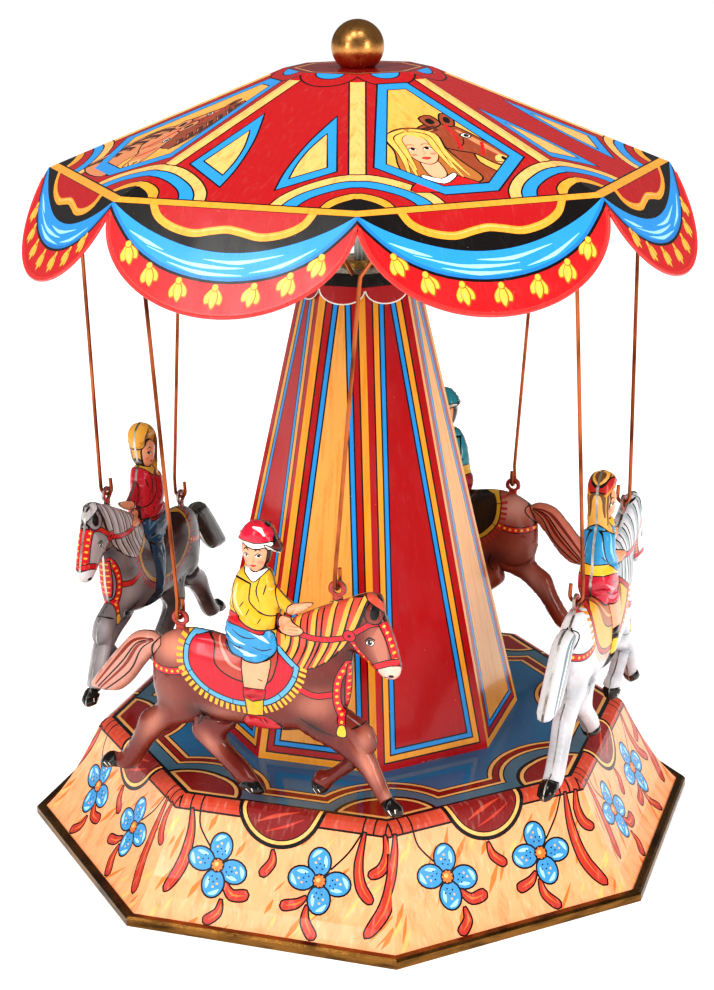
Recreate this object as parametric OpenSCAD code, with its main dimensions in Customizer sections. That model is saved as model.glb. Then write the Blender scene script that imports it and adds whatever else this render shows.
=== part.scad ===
// Clockwork tin carousel: an eight-sided base and tower carry a turning canopy, from which
// four horses with riders hang on wire hooks. A spring motor in the base drives the spindle.
// Millimetres, +Z up, origin at the centre of the base's underside. Corners of the base and
// the tower lie on the X and Y axes.

/* [Base] */
// Corner radius of the rolled rim round the foot of the skirt
rim_r = 124; // [120:1:128]
// Height of the rolled rim
rim_h = 3.4; // [3:0.2:4]
// Corner radius of the deck, taken to where deck and skirt would meet in a point
deck_r = 97.5; // [94:0.5:100]
// Height of the deck
deck_h = 38; // [38:0.5:40]
// Radius of the rounded fold between deck and skirt
fold_r = 6; // [4:0.5:7]
// Corner radius of the point that the skirt's hollow curve is drawn towards
skirt_bend_r = 111; // [108:0.5:112]
// Height of the point that the skirt's hollow curve is drawn towards
skirt_bend_h = 9.8; // [9:0.1:19]
// Thickness of the tinplate
tin = 0.5; // [0.4:0.1:0.6]

/* [Tower] */
// Corner radius of the tower at the deck
tower_r = 58; // [56:0.5:60]
// Corner radius of the tower at its top
tower_top_r = 20.4; // [19:0.2:21]
// Height of the tower's top above the floor
tower_h = 203; // [200:1:205]

/* [Canopy] */
// Corner radius of the canopy's small flat top
crown_r = 25.3; // [24:0.1:27]
// Height of the flat top
crown_h = 274; // [273:0.5:275]
// Corner radius of the eave
eave_r = 107; // [106:0.5:108]
// Height of the eave
eave_h = 241; // [240.5:0.5:242]
// Height of the lowest point of each valance scallop
valance_h = 211.5; // [209:0.5:213]
// How far the valance flares out for each millimetre that it drops, along a corner
valance_flare = 0.645; // [0.6:0.005:0.7]
// Depth of the notch between two scallops, below the eave
notch_drop = 2.8; // [2:0.1:4]
// Radius of the gilt ball on top
ball_r = 9; // [8:0.1:9.5]
// How far the canopy and its horses are turned from the base at rest
rest_turn = -4.8; // [-22:0.1:22]

/* [Horses] */
// Radius at which the hanger eyes hang under the eave's corners
hanger_r = 97; // [95:0.5:98]
// Height of the centre of a hanger eye
hanger_h = 236.5; // [236:0.1:237]
// Radius of the hanger wire
wire_r = 0.7; // [0.6:0.05:0.75]
// Place of the rump lug's eye: forward, up
rump_eye = [-28, 102];
// Place of the neck lug's eye: forward, up
neck_eye = [29, 120];
// Greatest thickness of one pressed half of a horse
half_depth = 7.5; // [6:0.5:9]

/* [Motor] */
// Module of the great wheel and its pinion
drive_module = 0.6; // [0.6:0.05:0.6]
// Module of the crown wheel and the spindle pinion
crown_module = 0.8; // [0.8:0.05:0.8]
// Height of the winding arbor
arbor_h = 18; // [18:0.5:18]
// Direction of the winding key, from the Y axis
key_turn = 22.5; // [22.5:45:337.5]
// Distance of the key's tip from the centre
key_tip = 128; // [126:1:130]

/* [Hidden] */
$fn = 48;
SIDES = 8;
FLAT = cos(22.5);
HALF_SIDE = tan(22.5);
EXTEND = 0.2;
LAP = 1.005;
// The motor's wheels
GREAT_TEETH = 48;
SECOND_PINION_TEETH = 12;
CROWN_TEETH = 30;
SPINDLE_TEETH = 10;
SECOND_TEETH = 48;
GOVERNOR_TEETH = 8;
RATCHET_TEETH = 12;
second_module = 0.5;
second_h = arbor_h + drive_module * (GREAT_TEETH + SECOND_PINION_TEETH) / 2;
crown_pitch = crown_module * CROWN_TEETH / 2;
spindle_pitch = crown_module * SPINDLE_TEETH / 2;
governor_gap = second_module * (SECOND_TEETH + GOVERNOR_TEETH) / 2;
governor_at = [-governor_gap * cos(30), second_h + governor_gap * sin(30)];
spindle_r = 2;
arbor_r = 2;
thin_arbor_r = 1;
running = 0.05;
plate_y = 17;
plate_t = 1.2;
plate_half_w = 32;
plate_top = 50;
pillar_at = [28, 10];
bearing_h = 39.6;
floor_plate_z = 0.8;
// The four horses stand between eaves' corners, nose to the left as seen from the middle
BAYS = [247.5, 157.5, 67.5, 337.5];
plane_r = hanger_r * FLAT;
eye_s = hanger_r * sin(22.5);
eye_r = 1.5;
eye_t = 0.8;
lug_hole_r = 1.55;
lug_outer_r = 2.8;
lug_t = 0.4;
hook_r = 2.2;
wire_top = hanger_h - eye_r + wire_r + 0.15;

// ---- shared shapes ----

// A sheet of tin bent along a path of [corner radius, height] points and carried round eight sides
module eight_sided_sheet(path) {
    last = len(path) - 1;
    first_end = path[0] + EXTEND * (path[0] - path[1]);
    last_end = path[last] + EXTEND * (path[last] - path[last - 1]);
    inner = [for (i = [1 : last - 1]) path[i]];
    rotate_extrude($fn = SIDES) difference() {
        polygon(concat([[0, path[0][1]]], path, [[0, path[last][1]]]));
        offset(delta = -tin)
            polygon(concat([[-deck_r, first_end[1]], first_end], inner, [last_end, [-deck_r, last_end[1]]]));
    }
}

// What to cut from the foot of an eight-sided sheet so that each side hangs in one round scallop.
// Neighbouring cuts overlap by a hair.
module scallop_cutter(half_w, notch_z, low_z, inner_r, outer_r) {
    depth = notch_z - low_z;
    side_w = 2 * outer_r * HALF_SIDE * LAP;
    arc = [for (a = [180 : -7.5 : 0]) [half_w * cos(a), notch_z - depth * sin(a)]];
    for (side = [0 : SIDES - 1]) rotate([0, 0, 45 * side + 22.5]) intersection() {
        translate([inner_r, 0, 0]) rotate([90, 0, 90]) linear_extrude(outer_r - inner_r)
            polygon(concat([[-outer_r, low_z - depth], [-outer_r, notch_z]], arc,
                [[outer_r, notch_z], [outer_r, low_z - depth]]));
        translate([0, 0, low_z - depth]) linear_extrude(2 * depth)
            polygon([[0, 0], [2 * outer_r, -side_w], [2 * outer_r, side_w]]);
    }
}

// A round fold between the lines corner-start and corner-end, for a bent sheet's path
function fold(corner, slope, r) = let (reach = r * tan(slope / 2))
    [for (a = [0 : slope / 4 : slope]) corner + [-reach + r * sin(a), -r + r * cos(a)]];

// Points along a curve that leaves a towards bend and comes to b from bend, without a itself
function bow(a, bend, b, steps = 6) = [for (i = [1 : steps]) let (t = i / steps)
    (1 - t) * (1 - t) * a + 2 * t * (1 - t) * bend + t * t * b];

function invol(a) = tan(a) - a * PI / 180;
function tooth_half_angle(teeth, m, r, slack) = let (pitch = teeth * m / 2, base = pitch * cos(20))
    (PI / (2 * teeth) - slack / (2 * pitch) + invol(20) - invol(r > base ? acos(base / r) : 0)) * 180 / PI;
function polar(r, a) = [r * cos(a), r * sin(a)];

// Spur gear outline with involute flanks, one tooth centred on the X axis
module gear_outline(teeth, m, slack, tip, root) {
    pitch = teeth * m / 2;
    radii = [for (i = [0 : 4]) pitch - root * m + i * (root + tip) * m / 4];
    polygon([for (t = [0 : teeth - 1]) each concat(
        [for (i = [0 : 4]) polar(radii[i], 360 * t / teeth - tooth_half_angle(teeth, m, radii[i], slack))],
        [for (i = [4 : -1 : 0]) polar(radii[i], 360 * t / teeth + tooth_half_angle(teeth, m, radii[i], slack))]
    )]);
}

module gear(teeth, m, width, bore, slack = 0.12, tip = 0.85, root = 1.2) {
    linear_extrude(width) difference() {
        gear_outline(teeth, m, slack, tip, root);
        circle(r = bore);
    }
}

// The motor's frame: its arbors run along its own Y axis
module in_motor() {
    rotate([0, 0, key_turn]) children();
}

// Stands what is drawn round the Z axis on a horizontal arbor at [x, z], from y on
module on_arbor(at, y) {
    in_motor() translate([at[0], y, at[1]]) rotate([-90, 0, 0]) children();
}

module rod_along(at, from_y, to_y, r) {
    on_arbor(at, from_y) cylinder(r = r, h = to_y - from_y);
}

function unit(v) = v / norm(v);
function tangents(p) = [for (i = [0 : len(p) - 1])
    unit(p[min(i + 1, len(p) - 1)] - p[max(i - 1, 0)])];
function carried(t, normal, i = 0) = i == len(t) ? []
    : let (n = unit(normal - (normal * t[i]) * t[i])) concat([n], carried(t, n, i + 1));

// Round wire along a list of points
module wire(path, r, sides = 8) {
    t = tangents(path);
    n = carried(t, [0, 1, 0]);
    rings = len(path);
    points = [for (i = [0 : rings - 1]) for (j = [0 : sides - 1])
        path[i] + r * cos(360 * j / sides) * n[i] + r * sin(360 * j / sides) * cross(t[i], n[i])];
    walls = [for (i = [0 : rings - 2]) for (j = [0 : sides - 1]) let (k = (j + 1) % sides)
        each [[i * sides + j, i * sides + k, (i + 1) * sides + k],
              [i * sides + j, (i + 1) * sides + k, (i + 1) * sides + j]]];
    first = [for (j = [sides - 1 : -1 : 0]) j];
    last = [for (j = [0 : sides - 1]) (rings - 1) * sides + j];
    polyhedron(points = points, faces = [for (f = concat([first], walls, [last])) [for (i = [len(f) - 1 : -1 : 0]) f[i]]]);
}

// A closed outline drawn smoothly through its points
function spline_point(a, b, c, d, t) =
    0.5 * ((2 * b) + (c - a) * t + (2 * a - 5 * b + 4 * c - d) * t * t + (3 * b - a - 3 * c + d) * t * t * t);
function smooth(p, steps = 3) = let (n = len(p)) [for (i = [0 : n - 1]) for (k = [0 : steps - 1])
    spline_point(p[(i + n - 1) % n], p[i], p[(i + 1) % n], p[(i + 2) % n], k / steps)];

// ---- base ----

skirt_bend = [skirt_bend_r, skirt_bend_h];
skirt_slope = atan2(deck_h - skirt_bend_h, skirt_bend_r - deck_r);
skirt_foot = [rim_r - 1, tin];

module base_shell() {
    top = fold([deck_r, deck_h], skirt_slope, fold_r);
    color("burlywood") difference() {
        eight_sided_sheet(concat([[0, deck_h]], top, bow(top[len(top) - 1], skirt_bend, skirt_foot)));
        translate([0, 0, deck_h - 5]) cylinder(r = tower_r - 8, h = 10, $fn = SIDES);
        rod_along([0, arbor_h], 60, 130, 4);
        tower_tabs(0.1);
    }
}

// Rolled over the foot of the skirt and the edge of the floor plate
module base_rim() {
    color("goldenrod") rotate_extrude($fn = SIDES) difference() {
        polygon([[rim_r - 3.2, 0], [rim_r, 0], [rim_r, rim_h - 0.8], [rim_r - 0.8, rim_h], [rim_r - 3.2, rim_h]]);
        polygon([[rim_r - 4, tin], [rim_r - 0.9, tin], [rim_r - 0.9, 1.2], [rim_r - 4, 3.6]]);
    }
}

module base_plate() {
    color("silver") translate([0, 0, floor_plate_z - 0.3]) linear_extrude(tin)
        circle(r = rim_r - 4, $fn = SIDES);
}

// ---- tower ----

// Bent through slots in the deck, one on every other side
module tower_tabs(spare) {
    for (side = [0 : 2 : SIDES - 1]) rotate([0, 0, 45 * side + 22.5])
        translate([tower_r * FLAT - tin - spare, -5 - spare, deck_h - 2.5])
            cube([tin + 2 * spare, 10 + 2 * spare, 3 + spare]);
}

module tower_shell() {
    color("firebrick") union() {
        eight_sided_sheet([[tower_top_r, tower_h], [tower_r, deck_h]]);
        tower_tabs(0);
    }
}

module tower_cap() {
    color("firebrick") difference() {
        eight_sided_sheet([[0, tower_h + 3.5], [tower_top_r - 0.4, tower_h + 3.5], [tower_top_r + 1, tower_h - 1],
            [tower_top_r + 2.8, tower_h - 7.5]]);
        translate([0, 0, tower_h]) cylinder(r = 4, h = 8);
        scallop_cutter((tower_top_r + 1.4) * sin(22.5), tower_h - 2, tower_h - 7, 12, 30);
    }
}

module top_bush() {
    color("gold") translate([0, 0, tower_h + 3.5]) difference() {
        union() {
            translate([0, 0, -4]) cylinder(r = 4, h = 5.5);
            cylinder(r = 6.5, h = 1.2);
        }
        translate([0, 0, -6]) cylinder(r = spindle_r + running, h = 12);
    }
}

// ---- motor ----

module motor_plate(y, foot_y) {
    color("silver") difference() {
        union() {
            on_arbor([0, 0], y) linear_extrude(plate_t)
                polygon([[-plate_half_w, -2], [plate_half_w, -2], [plate_half_w, 8 - plate_top],
                    [plate_half_w - 8, -plate_top], [8 - plate_half_w, -plate_top], [-plate_half_w, 8 - plate_top]]);
            in_motor() translate([-plate_half_w, foot_y, floor_plate_z + 0.2])
                cube([2 * plate_half_w, 7, 1.2]);
        }
        rod_along([0, arbor_h], y - 1, y + 3, arbor_r + running);
        rod_along([0, second_h], y - 1, y + 3, thin_arbor_r + running);
        rod_along(governor_at, y - 1, y + 3, 0.8 + running);
    }
}

module motor_plate_front() {
    motor_plate(-plate_y - plate_t, -plate_y - 7);
}

module motor_plate_rear() {
    motor_plate(plate_y, plate_y);
}

module motor_pillars() {
    color("silver") for (x = [-pillar_at[0], pillar_at[0]], z = [pillar_at[1], bearing_h])
        rod_along([x, z], -plate_y, plate_y, 2);
}

module step_bearing() {
    color("silver") difference() {
        union() {
            in_motor() translate([-pillar_at[0], -3.3, bearing_h - 1.1]) cube([2 * pillar_at[0], 5, 2.4]);
            for (x = [-pillar_at[0], pillar_at[0]]) rod_along([x, bearing_h], -3.3, 1.7, 3.2);
        }
        for (x = [-pillar_at[0], pillar_at[0]]) rod_along([x, bearing_h], -5, 5, 2);
        translate([0, 0, bearing_h - 0.3]) cylinder(r = spindle_r - 0.5 + running, h = 5);
    }
}

// A wound strip, held under a pillar at its outer end
module mainspring() {
    turns = 5.25;
    inner = 2.8;
    outer = 13;
    strip = 0.5;
    under_pillar = arbor_h - pillar_at[1] + 2.6;
    spiral = [for (a = [0 : 18 : 360 * turns]) polar(inner + (outer - inner) * a / (360 * turns), a)];
    lifted = [for (a = [360 * turns : -18 : 0]) polar(inner + strip + (outer - inner) * a / (360 * turns), a)];
    tail = [[1 - pillar_at[0], under_pillar], [1 - pillar_at[0], under_pillar + strip]];
    color("steelblue") on_arbor([0, arbor_h], -15.5) linear_extrude(8)
        polygon(concat(spiral, tail, lifted));
}

module great_wheel() {
    color("gold") on_arbor([0, arbor_h], 7)
        gear(GREAT_TEETH, drive_module, 1.4, arbor_r + running);
}

module click() {
    color("silver") on_arbor([0, arbor_h], 8.4) union() {
        translate([0, 0, 0.3]) linear_extrude(1.5) polygon([polar(6.9, 3), polar(8.6, 2), polar(10.6, 22),
            polar(12.3, 28), polar(12.5, 36), polar(10.6, 38), polar(9.2, 26), polar(7.75, 13)]);
        translate(concat(polar(11.4, 32), 0)) cylinder(r = 0.7, h = 2.2);
    }
}

module click_spring() {
    color("silver") on_arbor([0, arbor_h], 8.4) linear_extrude(1.2)
        polygon(concat([for (a = [42 : 6 : 96]) polar(10.2, a)], [for (a = [96 : -6 : 42]) polar(10.7, a)]));
}

module winding_arbor() {
    color("silver") rod_along([0, arbor_h], -plate_y - 3, plate_y + 12, arbor_r);
}

module ratchet_wheel() {
    color("silver") on_arbor([0, arbor_h], 8.8) linear_extrude(1.6) difference() {
        polygon([for (t = [0 : RATCHET_TEETH - 1]) each [polar(8, 360 * t / RATCHET_TEETH - 0.01),
            polar(6.4, 360 * t / RATCHET_TEETH)]]);
        circle(r = arbor_r);
    }
}

// Butterfly key on a long stem that sleeves the arbor's end
module winding_key() {
    wing = [[0, -2], [4, -8], [10, -12], [15, -11], [17, -6], [15, -2], [17, 0], [15, 2], [17, 6], [15, 11],
        [10, 12], [4, 8], [0, 2]];
    color("silver") difference() {
        union() {
            rod_along([0, arbor_h], plate_y + 3, key_tip - 14, 3);
            in_motor() translate([0, key_tip - 17, arbor_h]) rotate([0, -90, 0]) linear_extrude(1.6, center = true)
                polygon([for (p = smooth(wing)) [p[1], p[0]]]);
        }
        rod_along([0, arbor_h], plate_y, plate_y + 12, arbor_r);
    }
}

module second_arbor() {
    color("silver") rod_along([0, second_h], -plate_y - 2, plate_y + 2, thin_arbor_r);
}

module second_pinion() {
    color("gold") on_arbor([0, second_h], 6.6) rotate([0, 0, 15])
        gear(SECOND_PINION_TEETH, drive_module, 2.4, thin_arbor_r);
}

module second_wheel() {
    color("gold") on_arbor([0, second_h], -6.6)
        gear(SECOND_TEETH, second_module, 1, thin_arbor_r);
}

// Teeth that stand up from the face of a disc, turned towards the spindle
module crown_wheel() {
    tooth_h = 2 * crown_module;
    base_w = PI * crown_module / 4 + 0.12;
    tip_w = PI * crown_module / 4 - 0.42;
    color("gold") on_arbor([0, second_h], spindle_pitch + 1) union() {
        difference() {
            cylinder(r = crown_pitch + 0.9, h = 1.2);
            translate([0, 0, -1]) cylinder(r = thin_arbor_r, h = 4);
        }
        for (t = [0 : CROWN_TEETH - 1]) rotate([0, 0, 360 * t / CROWN_TEETH])
            translate([crown_pitch - 0.8, 0, 0]) rotate([90, 0, 90]) linear_extrude(1.6)
                polygon([[-base_w, 0.3], [-base_w, 0], [-tip_w, -tooth_h], [tip_w, -tooth_h], [base_w, 0], [base_w, 0.3]]);
    }
}

module governor_arbor() {
    color("silver") rod_along(governor_at, -plate_y - 2, plate_y + 2, 0.8);
}

module governor_pinion() {
    color("gold") on_arbor(governor_at, -7.2) rotate([0, 0, 7.5])
        gear(GOVERNOR_TEETH, second_module, 2.2, 0.8);
}

// Two air paddles that hold the motor to a steady speed
module governor_fan() {
    color("silver") on_arbor(governor_at, 9.6) difference() {
        union() {
            cylinder(r = 1.8, h = 5);
            translate([-6.6, -0.3, 0]) cube([13.2, 0.6, 5]);
        }
        translate([0, 0, -1]) cylinder(r = 0.8, h = 8);
    }
}

// ---- rotor ----

module spindle() {
    color("silver") union() {
        translate([0, 0, bearing_h - 0.25]) cylinder(r = spindle_r - 0.5, h = 3);
        translate([0, 0, bearing_h + 2]) cylinder(r = spindle_r, h = crown_h + 7 - bearing_h - 2);
    }
}

module spindle_pinion() {
    width = 2;
    color("gold") in_motor() translate([0, 0, second_h + crown_pitch - width / 2]) rotate([0, 0, 18])
        gear(SPINDLE_TEETH, crown_module, width, spindle_r, slack = 0.25, tip = 0.8, root = 1.15);
}

module canopy_shell() {
    notch_z = eave_h - notch_drop;
    foot_z = valance_h - 1;
    foot_r = eave_r + valance_flare * (eave_h - foot_z);
    notch_half = (eave_r + valance_flare * notch_drop) * sin(22.5);
    color("crimson") rotate([0, 0, rest_turn]) difference() {
        eight_sided_sheet([[0, crown_h], [crown_r, crown_h], [eave_r, eave_h], [foot_r, foot_z]]);
        translate([0, 0, crown_h - 5]) cylinder(r = spindle_r, h = 10);
        scallop_cutter(notch_half, notch_z, valance_h, 80, 140);
    }
}

module canopy_hub() {
    color("gold") translate([0, 0, crown_h - tin]) difference() {
        union() {
            translate([0, 0, -7]) cylinder(r = 5, h = 7);
            translate([0, 0, -1.2]) cylinder(r = 14, h = 1.2);
        }
        translate([0, 0, -8]) cylinder(r = spindle_r, h = 10);
    }
}

module finial_ball() {
    ball_z = crown_h + ball_r - 2;
    color("gold") difference() {
        translate([0, 0, ball_z]) sphere(r = ball_r);
        translate([0, 0, crown_h - 10]) cylinder(r = 12, h = 10);
        translate([0, 0, crown_h - 1]) cylinder(r = spindle_r, h = 8);
    }
}

// Puts what is drawn with X forward and Y towards the spindle into one horse's bay
module in_bay(bay) {
    rotate([0, 0, bay + rest_turn + 90]) translate([0, -plane_r, 0]) children();
}

// A tab under each corner of the eave, with the hole that a hanger hooks into
module hanger_eyes() {
    roof_z = eave_h + (eave_r - hanger_r) * (crown_h - eave_h) / (eave_r - crown_r) - tin;
    color("crimson") for (bay = BAYS, s = [-eye_s, eye_s]) in_bay(bay)
        translate([s - eye_t / 2, 0, hanger_h]) rotate([90, 0, 90]) linear_extrude(eye_t) difference() {
            union() {
                circle(r = 2.5);
                translate([-2.5, 0]) square([5, roof_z - hanger_h - 1.4]);
            }
            circle(r = eye_r);
        }
}

// A hanger wire: an open hook at the top, a straight stem, and a hook through the horse's lug
module hanger_rod(s, lug) {
    top = [for (a = [180 : -30 : 0]) [s + 1.5 * cos(a), 0, wire_top - 1.5 + 1.5 * sin(a)]];
    free_leg = [[s - 1.6, 0, wire_top - 14], [s - 4.6, 0, wire_top - 9.2], [s - 4.3, 0, wire_top - 7.8],
        [s - 1.5, 0, wire_top - 4.4]];
    stem_leg = [[s + 1.5, 0, wire_top - 4.4], [s + 4.3, 0, wire_top - 7.8], [s + 4.6, 0, wire_top - 9.2],
        [s + 0.8, 0, wire_top - 14.4], [s + 0.4, 0, wire_top - 17]];
    low = lug[1] + 0.2;
    bend = [for (a = [180 : 22.5 : 360]) [lug[0], hook_r * cos(a), low + hook_r + hook_r * sin(a)]];
    tail = [[lug[0], hook_r - 0.3, low + hook_r + 4]];
    color("peru") wire(concat(free_leg, top, stem_leg, [[lug[0] + 0.3, -hook_r, low + hook_r + 5]], bend, tail), wire_r);
}

// ---- horses ----

BODY = [[-37, 78], [-37, 90], [-31, 97], [-20, 99.5], [-8, 96.5], [6, 98], [12, 106.5], [27, 115], [39, 120], [44.5, 119],
    [46, 112], [50, 99], [49, 93], [44, 93.5], [36, 99], [33, 92], [33, 82], [28, 73], [10, 68.5], [-12, 67.5], [-22, 69],
    [-32, 68]];
TAIL = [[-36, 91], [-38, 96], [-46, 94.5], [-55, 85], [-63, 73.5], [-57, 71.5], [-48, 76], [-42, 84]];
NEAR_FORE = [[31, 76], [41, 65], [45.5, 54], [48.5, 48.5], [52, 45.5], [47, 43.5], [42, 50], [36, 58], [28, 64], [18, 68],
    [12, 74], [18, 80]];
FAR_FORE = [[31, 78], [38, 76], [42, 71], [41, 65], [34, 57.5], [27, 52.5], [23, 48], [20, 47.5], [21, 55], [26, 56],
    [31, 62], [24, 72]];
NEAR_HIND = [[-37, 82], [-36.5, 71], [-44, 65], [-47.5, 57], [-54, 49], [-59, 48], [-61, 43.5], [-54, 44], [-47, 46],
    [-40, 56], [-31, 63.5], [-20, 70], [-24, 80]];
FAR_HIND = [[-24, 74], [-24.5, 62], [-19, 56], [-9, 48], [-7.5, 44.5], [0, 44], [-5, 53], [-12.5, 60.5], [-9, 68], [-16, 74]];
RIDER_LEG = [[-10, 96], [-2, 99], [7, 98], [6.5, 86], [3, 75], [9.5, 71], [8, 68.5], [-3.5, 69], [-2, 82], [-3, 91]];
RIDER_ARM = [[-7, 119], [-3, 121], [2, 114], [12, 110.5], [19.5, 111], [19, 106.5], [11, 104.5], [1, 104.5], [-6, 110]];

// A slab that grows away from the seam between the two halves
module pressed(outline, depth) {
    rotate([90, 0, 0]) linear_extrude(depth) polygon(smooth(outline));
}

// The same, hollow behind
module pressed_hollow(outline, depth, wall) {
    rotate([90, 0, 0]) difference() {
        linear_extrude(depth) polygon(smooth(outline));
        translate([0, 0, -1]) linear_extrude(depth + 1 - wall) offset(delta = -wall) polygon(smooth(outline));
    }
}

// Half of a rounded swelling whose flat side lies on the seam
module dome(at, r, depth) {
    for (layer = [[0, 1], [0.55, 0.86], [0.88, 0.55], [1, 0.2]])
        translate([at[0], -layer[0] * depth, at[1]]) rotate([90, 0, 0]) cylinder(r = r * layer[1], h = 0.02, $fn = 14);
}

module lug(at) {
    translate([at[0], 0, at[1]]) rotate([90, 0, 0]) linear_extrude(lug_t) union() {
        circle(r = lug_outer_r);
        translate([-1.5, -7]) square([3, 6]);
    }
}

// One pressed half of horse and rider. The outer half faces away from the tower.
module horse_half(outer) {
    mirror([0, outer ? 0 : 1, 0]) difference() {
        union() {
            pressed_hollow(BODY, half_depth * 0.6, 0.8);
            difference() {
                hull() {
                    dome([-24, 84], 13, half_depth);
                    dome([20, 86], 14, half_depth);
                }
                hull() {
                    dome([-24, 84], 12, half_depth - 1);
                    dome([20, 86], 13, half_depth - 1);
                }
            }
            pressed(TAIL, 2.4);
            pressed(outer ? NEAR_FORE : FAR_FORE, 3);
            pressed(outer ? NEAR_HIND : FAR_HIND, 3);
            hull() {
                dome([-4, 100], 7, 6);
                dome([-1, 119], 6, 5);
            }
            translate([3, 0, 131]) intersection() {
                sphere(r = 7);
                translate([-8, -5, -8]) cube([16, 5, 16]);
            }
            translate([0, 1 - half_depth, 0]) pressed(RIDER_LEG, 2.6);
            translate([0, -3, 0]) pressed(RIDER_ARM, 2.4);
            lug(rump_eye);
            lug(neck_eye);
        }
        for (at = [rump_eye, neck_eye]) translate([at[0], 1, at[1]]) rotate([90, 0, 0]) cylinder(r = lug_hole_r, h = 4);
    }
}

module chestnut_neck_rod() { in_bay(BAYS[0]) hanger_rod(eye_s, neck_eye); }
module chestnut_rump_rod() { in_bay(BAYS[0]) hanger_rod(-eye_s, rump_eye); }
module grey_neck_rod() { in_bay(BAYS[1]) hanger_rod(eye_s, neck_eye); }
module grey_rump_rod() { in_bay(BAYS[1]) hanger_rod(-eye_s, rump_eye); }
module brown_neck_rod() { in_bay(BAYS[2]) hanger_rod(eye_s, neck_eye); }
module brown_rump_rod() { in_bay(BAYS[2]) hanger_rod(-eye_s, rump_eye); }
module white_neck_rod() { in_bay(BAYS[3]) hanger_rod(eye_s, neck_eye); }
module white_rump_rod() { in_bay(BAYS[3]) hanger_rod(-eye_s, rump_eye); }
module chestnut_outer_half() { color("sienna") in_bay(BAYS[0]) horse_half(true); }
module chestnut_inner_half() { color("sienna") in_bay(BAYS[0]) horse_half(false); }
module grey_outer_half() { color("dimgray") in_bay(BAYS[1]) horse_half(true); }
module grey_inner_half() { color("dimgray") in_bay(BAYS[1]) horse_half(false); }
module brown_outer_half() { color("saddlebrown") in_bay(BAYS[2]) horse_half(true); }
module brown_inner_half() { color("saddlebrown") in_bay(BAYS[2]) horse_half(false); }
module white_outer_half() { color("white") in_bay(BAYS[3]) horse_half(true); }
module white_inner_half() { color("white") in_bay(BAYS[3]) horse_half(false); }

base_shell();
base_rim();
base_plate();
tower_shell();
tower_cap();
top_bush();
motor_plate_front();
motor_plate_rear();
motor_pillars();
step_bearing();
mainspring();
great_wheel();
click();
click_spring();
winding_arbor();
ratchet_wheel();
winding_key();
second_arbor();
second_pinion();
second_wheel();
crown_wheel();
governor_arbor();
governor_pinion();
governor_fan();
spindle();
spindle_pinion();
canopy_shell();
canopy_hub();
hanger_eyes();
finial_ball();
chestnut_neck_rod();
chestnut_rump_rod();
grey_neck_rod();
grey_rump_rod();
brown_neck_rod();
brown_rump_rod();
white_neck_rod();
white_rump_rod();
chestnut_outer_half();
chestnut_inner_half();
grey_outer_half();
grey_inner_half();
brown_outer_half();
brown_inner_half();
white_outer_half();
white_inner_half();
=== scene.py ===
"""Looks of the wind up tin carousel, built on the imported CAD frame.

Drawings on the tin are flat shapes in millimetres, cut into the panel's mesh and coloured face by face.
Panels run round eight sides: u is along a side, to the right as seen from outside, and v runs down it.
"""
import math
import random

import bpy
import numpy as np
from mathutils import Matrix, Vector
from mathutils.geometry import delaunay_2d_cdt


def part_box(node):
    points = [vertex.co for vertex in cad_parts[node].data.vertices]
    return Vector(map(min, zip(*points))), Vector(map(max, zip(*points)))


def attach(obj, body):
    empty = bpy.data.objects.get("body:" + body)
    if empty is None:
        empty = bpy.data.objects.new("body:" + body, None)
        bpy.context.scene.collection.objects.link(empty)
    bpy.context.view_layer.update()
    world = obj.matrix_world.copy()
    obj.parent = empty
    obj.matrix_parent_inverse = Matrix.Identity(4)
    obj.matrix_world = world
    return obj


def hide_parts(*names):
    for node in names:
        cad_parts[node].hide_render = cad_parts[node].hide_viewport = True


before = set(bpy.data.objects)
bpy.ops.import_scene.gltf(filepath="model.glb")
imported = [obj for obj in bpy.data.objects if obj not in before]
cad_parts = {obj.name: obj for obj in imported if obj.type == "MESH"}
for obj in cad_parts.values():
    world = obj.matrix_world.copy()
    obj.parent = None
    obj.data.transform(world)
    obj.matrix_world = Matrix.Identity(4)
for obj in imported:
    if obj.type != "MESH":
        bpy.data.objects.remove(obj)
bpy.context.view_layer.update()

# ---- sizes, in millimetres and degrees ----

MM = 0.001
SIDES = 8
FLAT = math.cos(math.radians(22.5))
HALF = math.tan(math.radians(22.5))
TIN = 0.5
REST_TURN = -4.8
HORSES = {"chestnut": 247.5, "grey": 157.5, "brown": 67.5, "white": 337.5}
PLANE_R = 97 * FLAT
DECK_H = 38.0
TOWER_H = 203.0
TOWER_R = 58.0
TOWER_TOP_R = 20.4
CROWN_R = 25.3
CROWN_H = 274.0
EAVE_R = 107.0
EAVE_H = 241.0
CROWN_HALF = 9.68
EAVE_HALF = 40.95

# ---- colours: sRGB, and how much the brush shows ----

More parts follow.
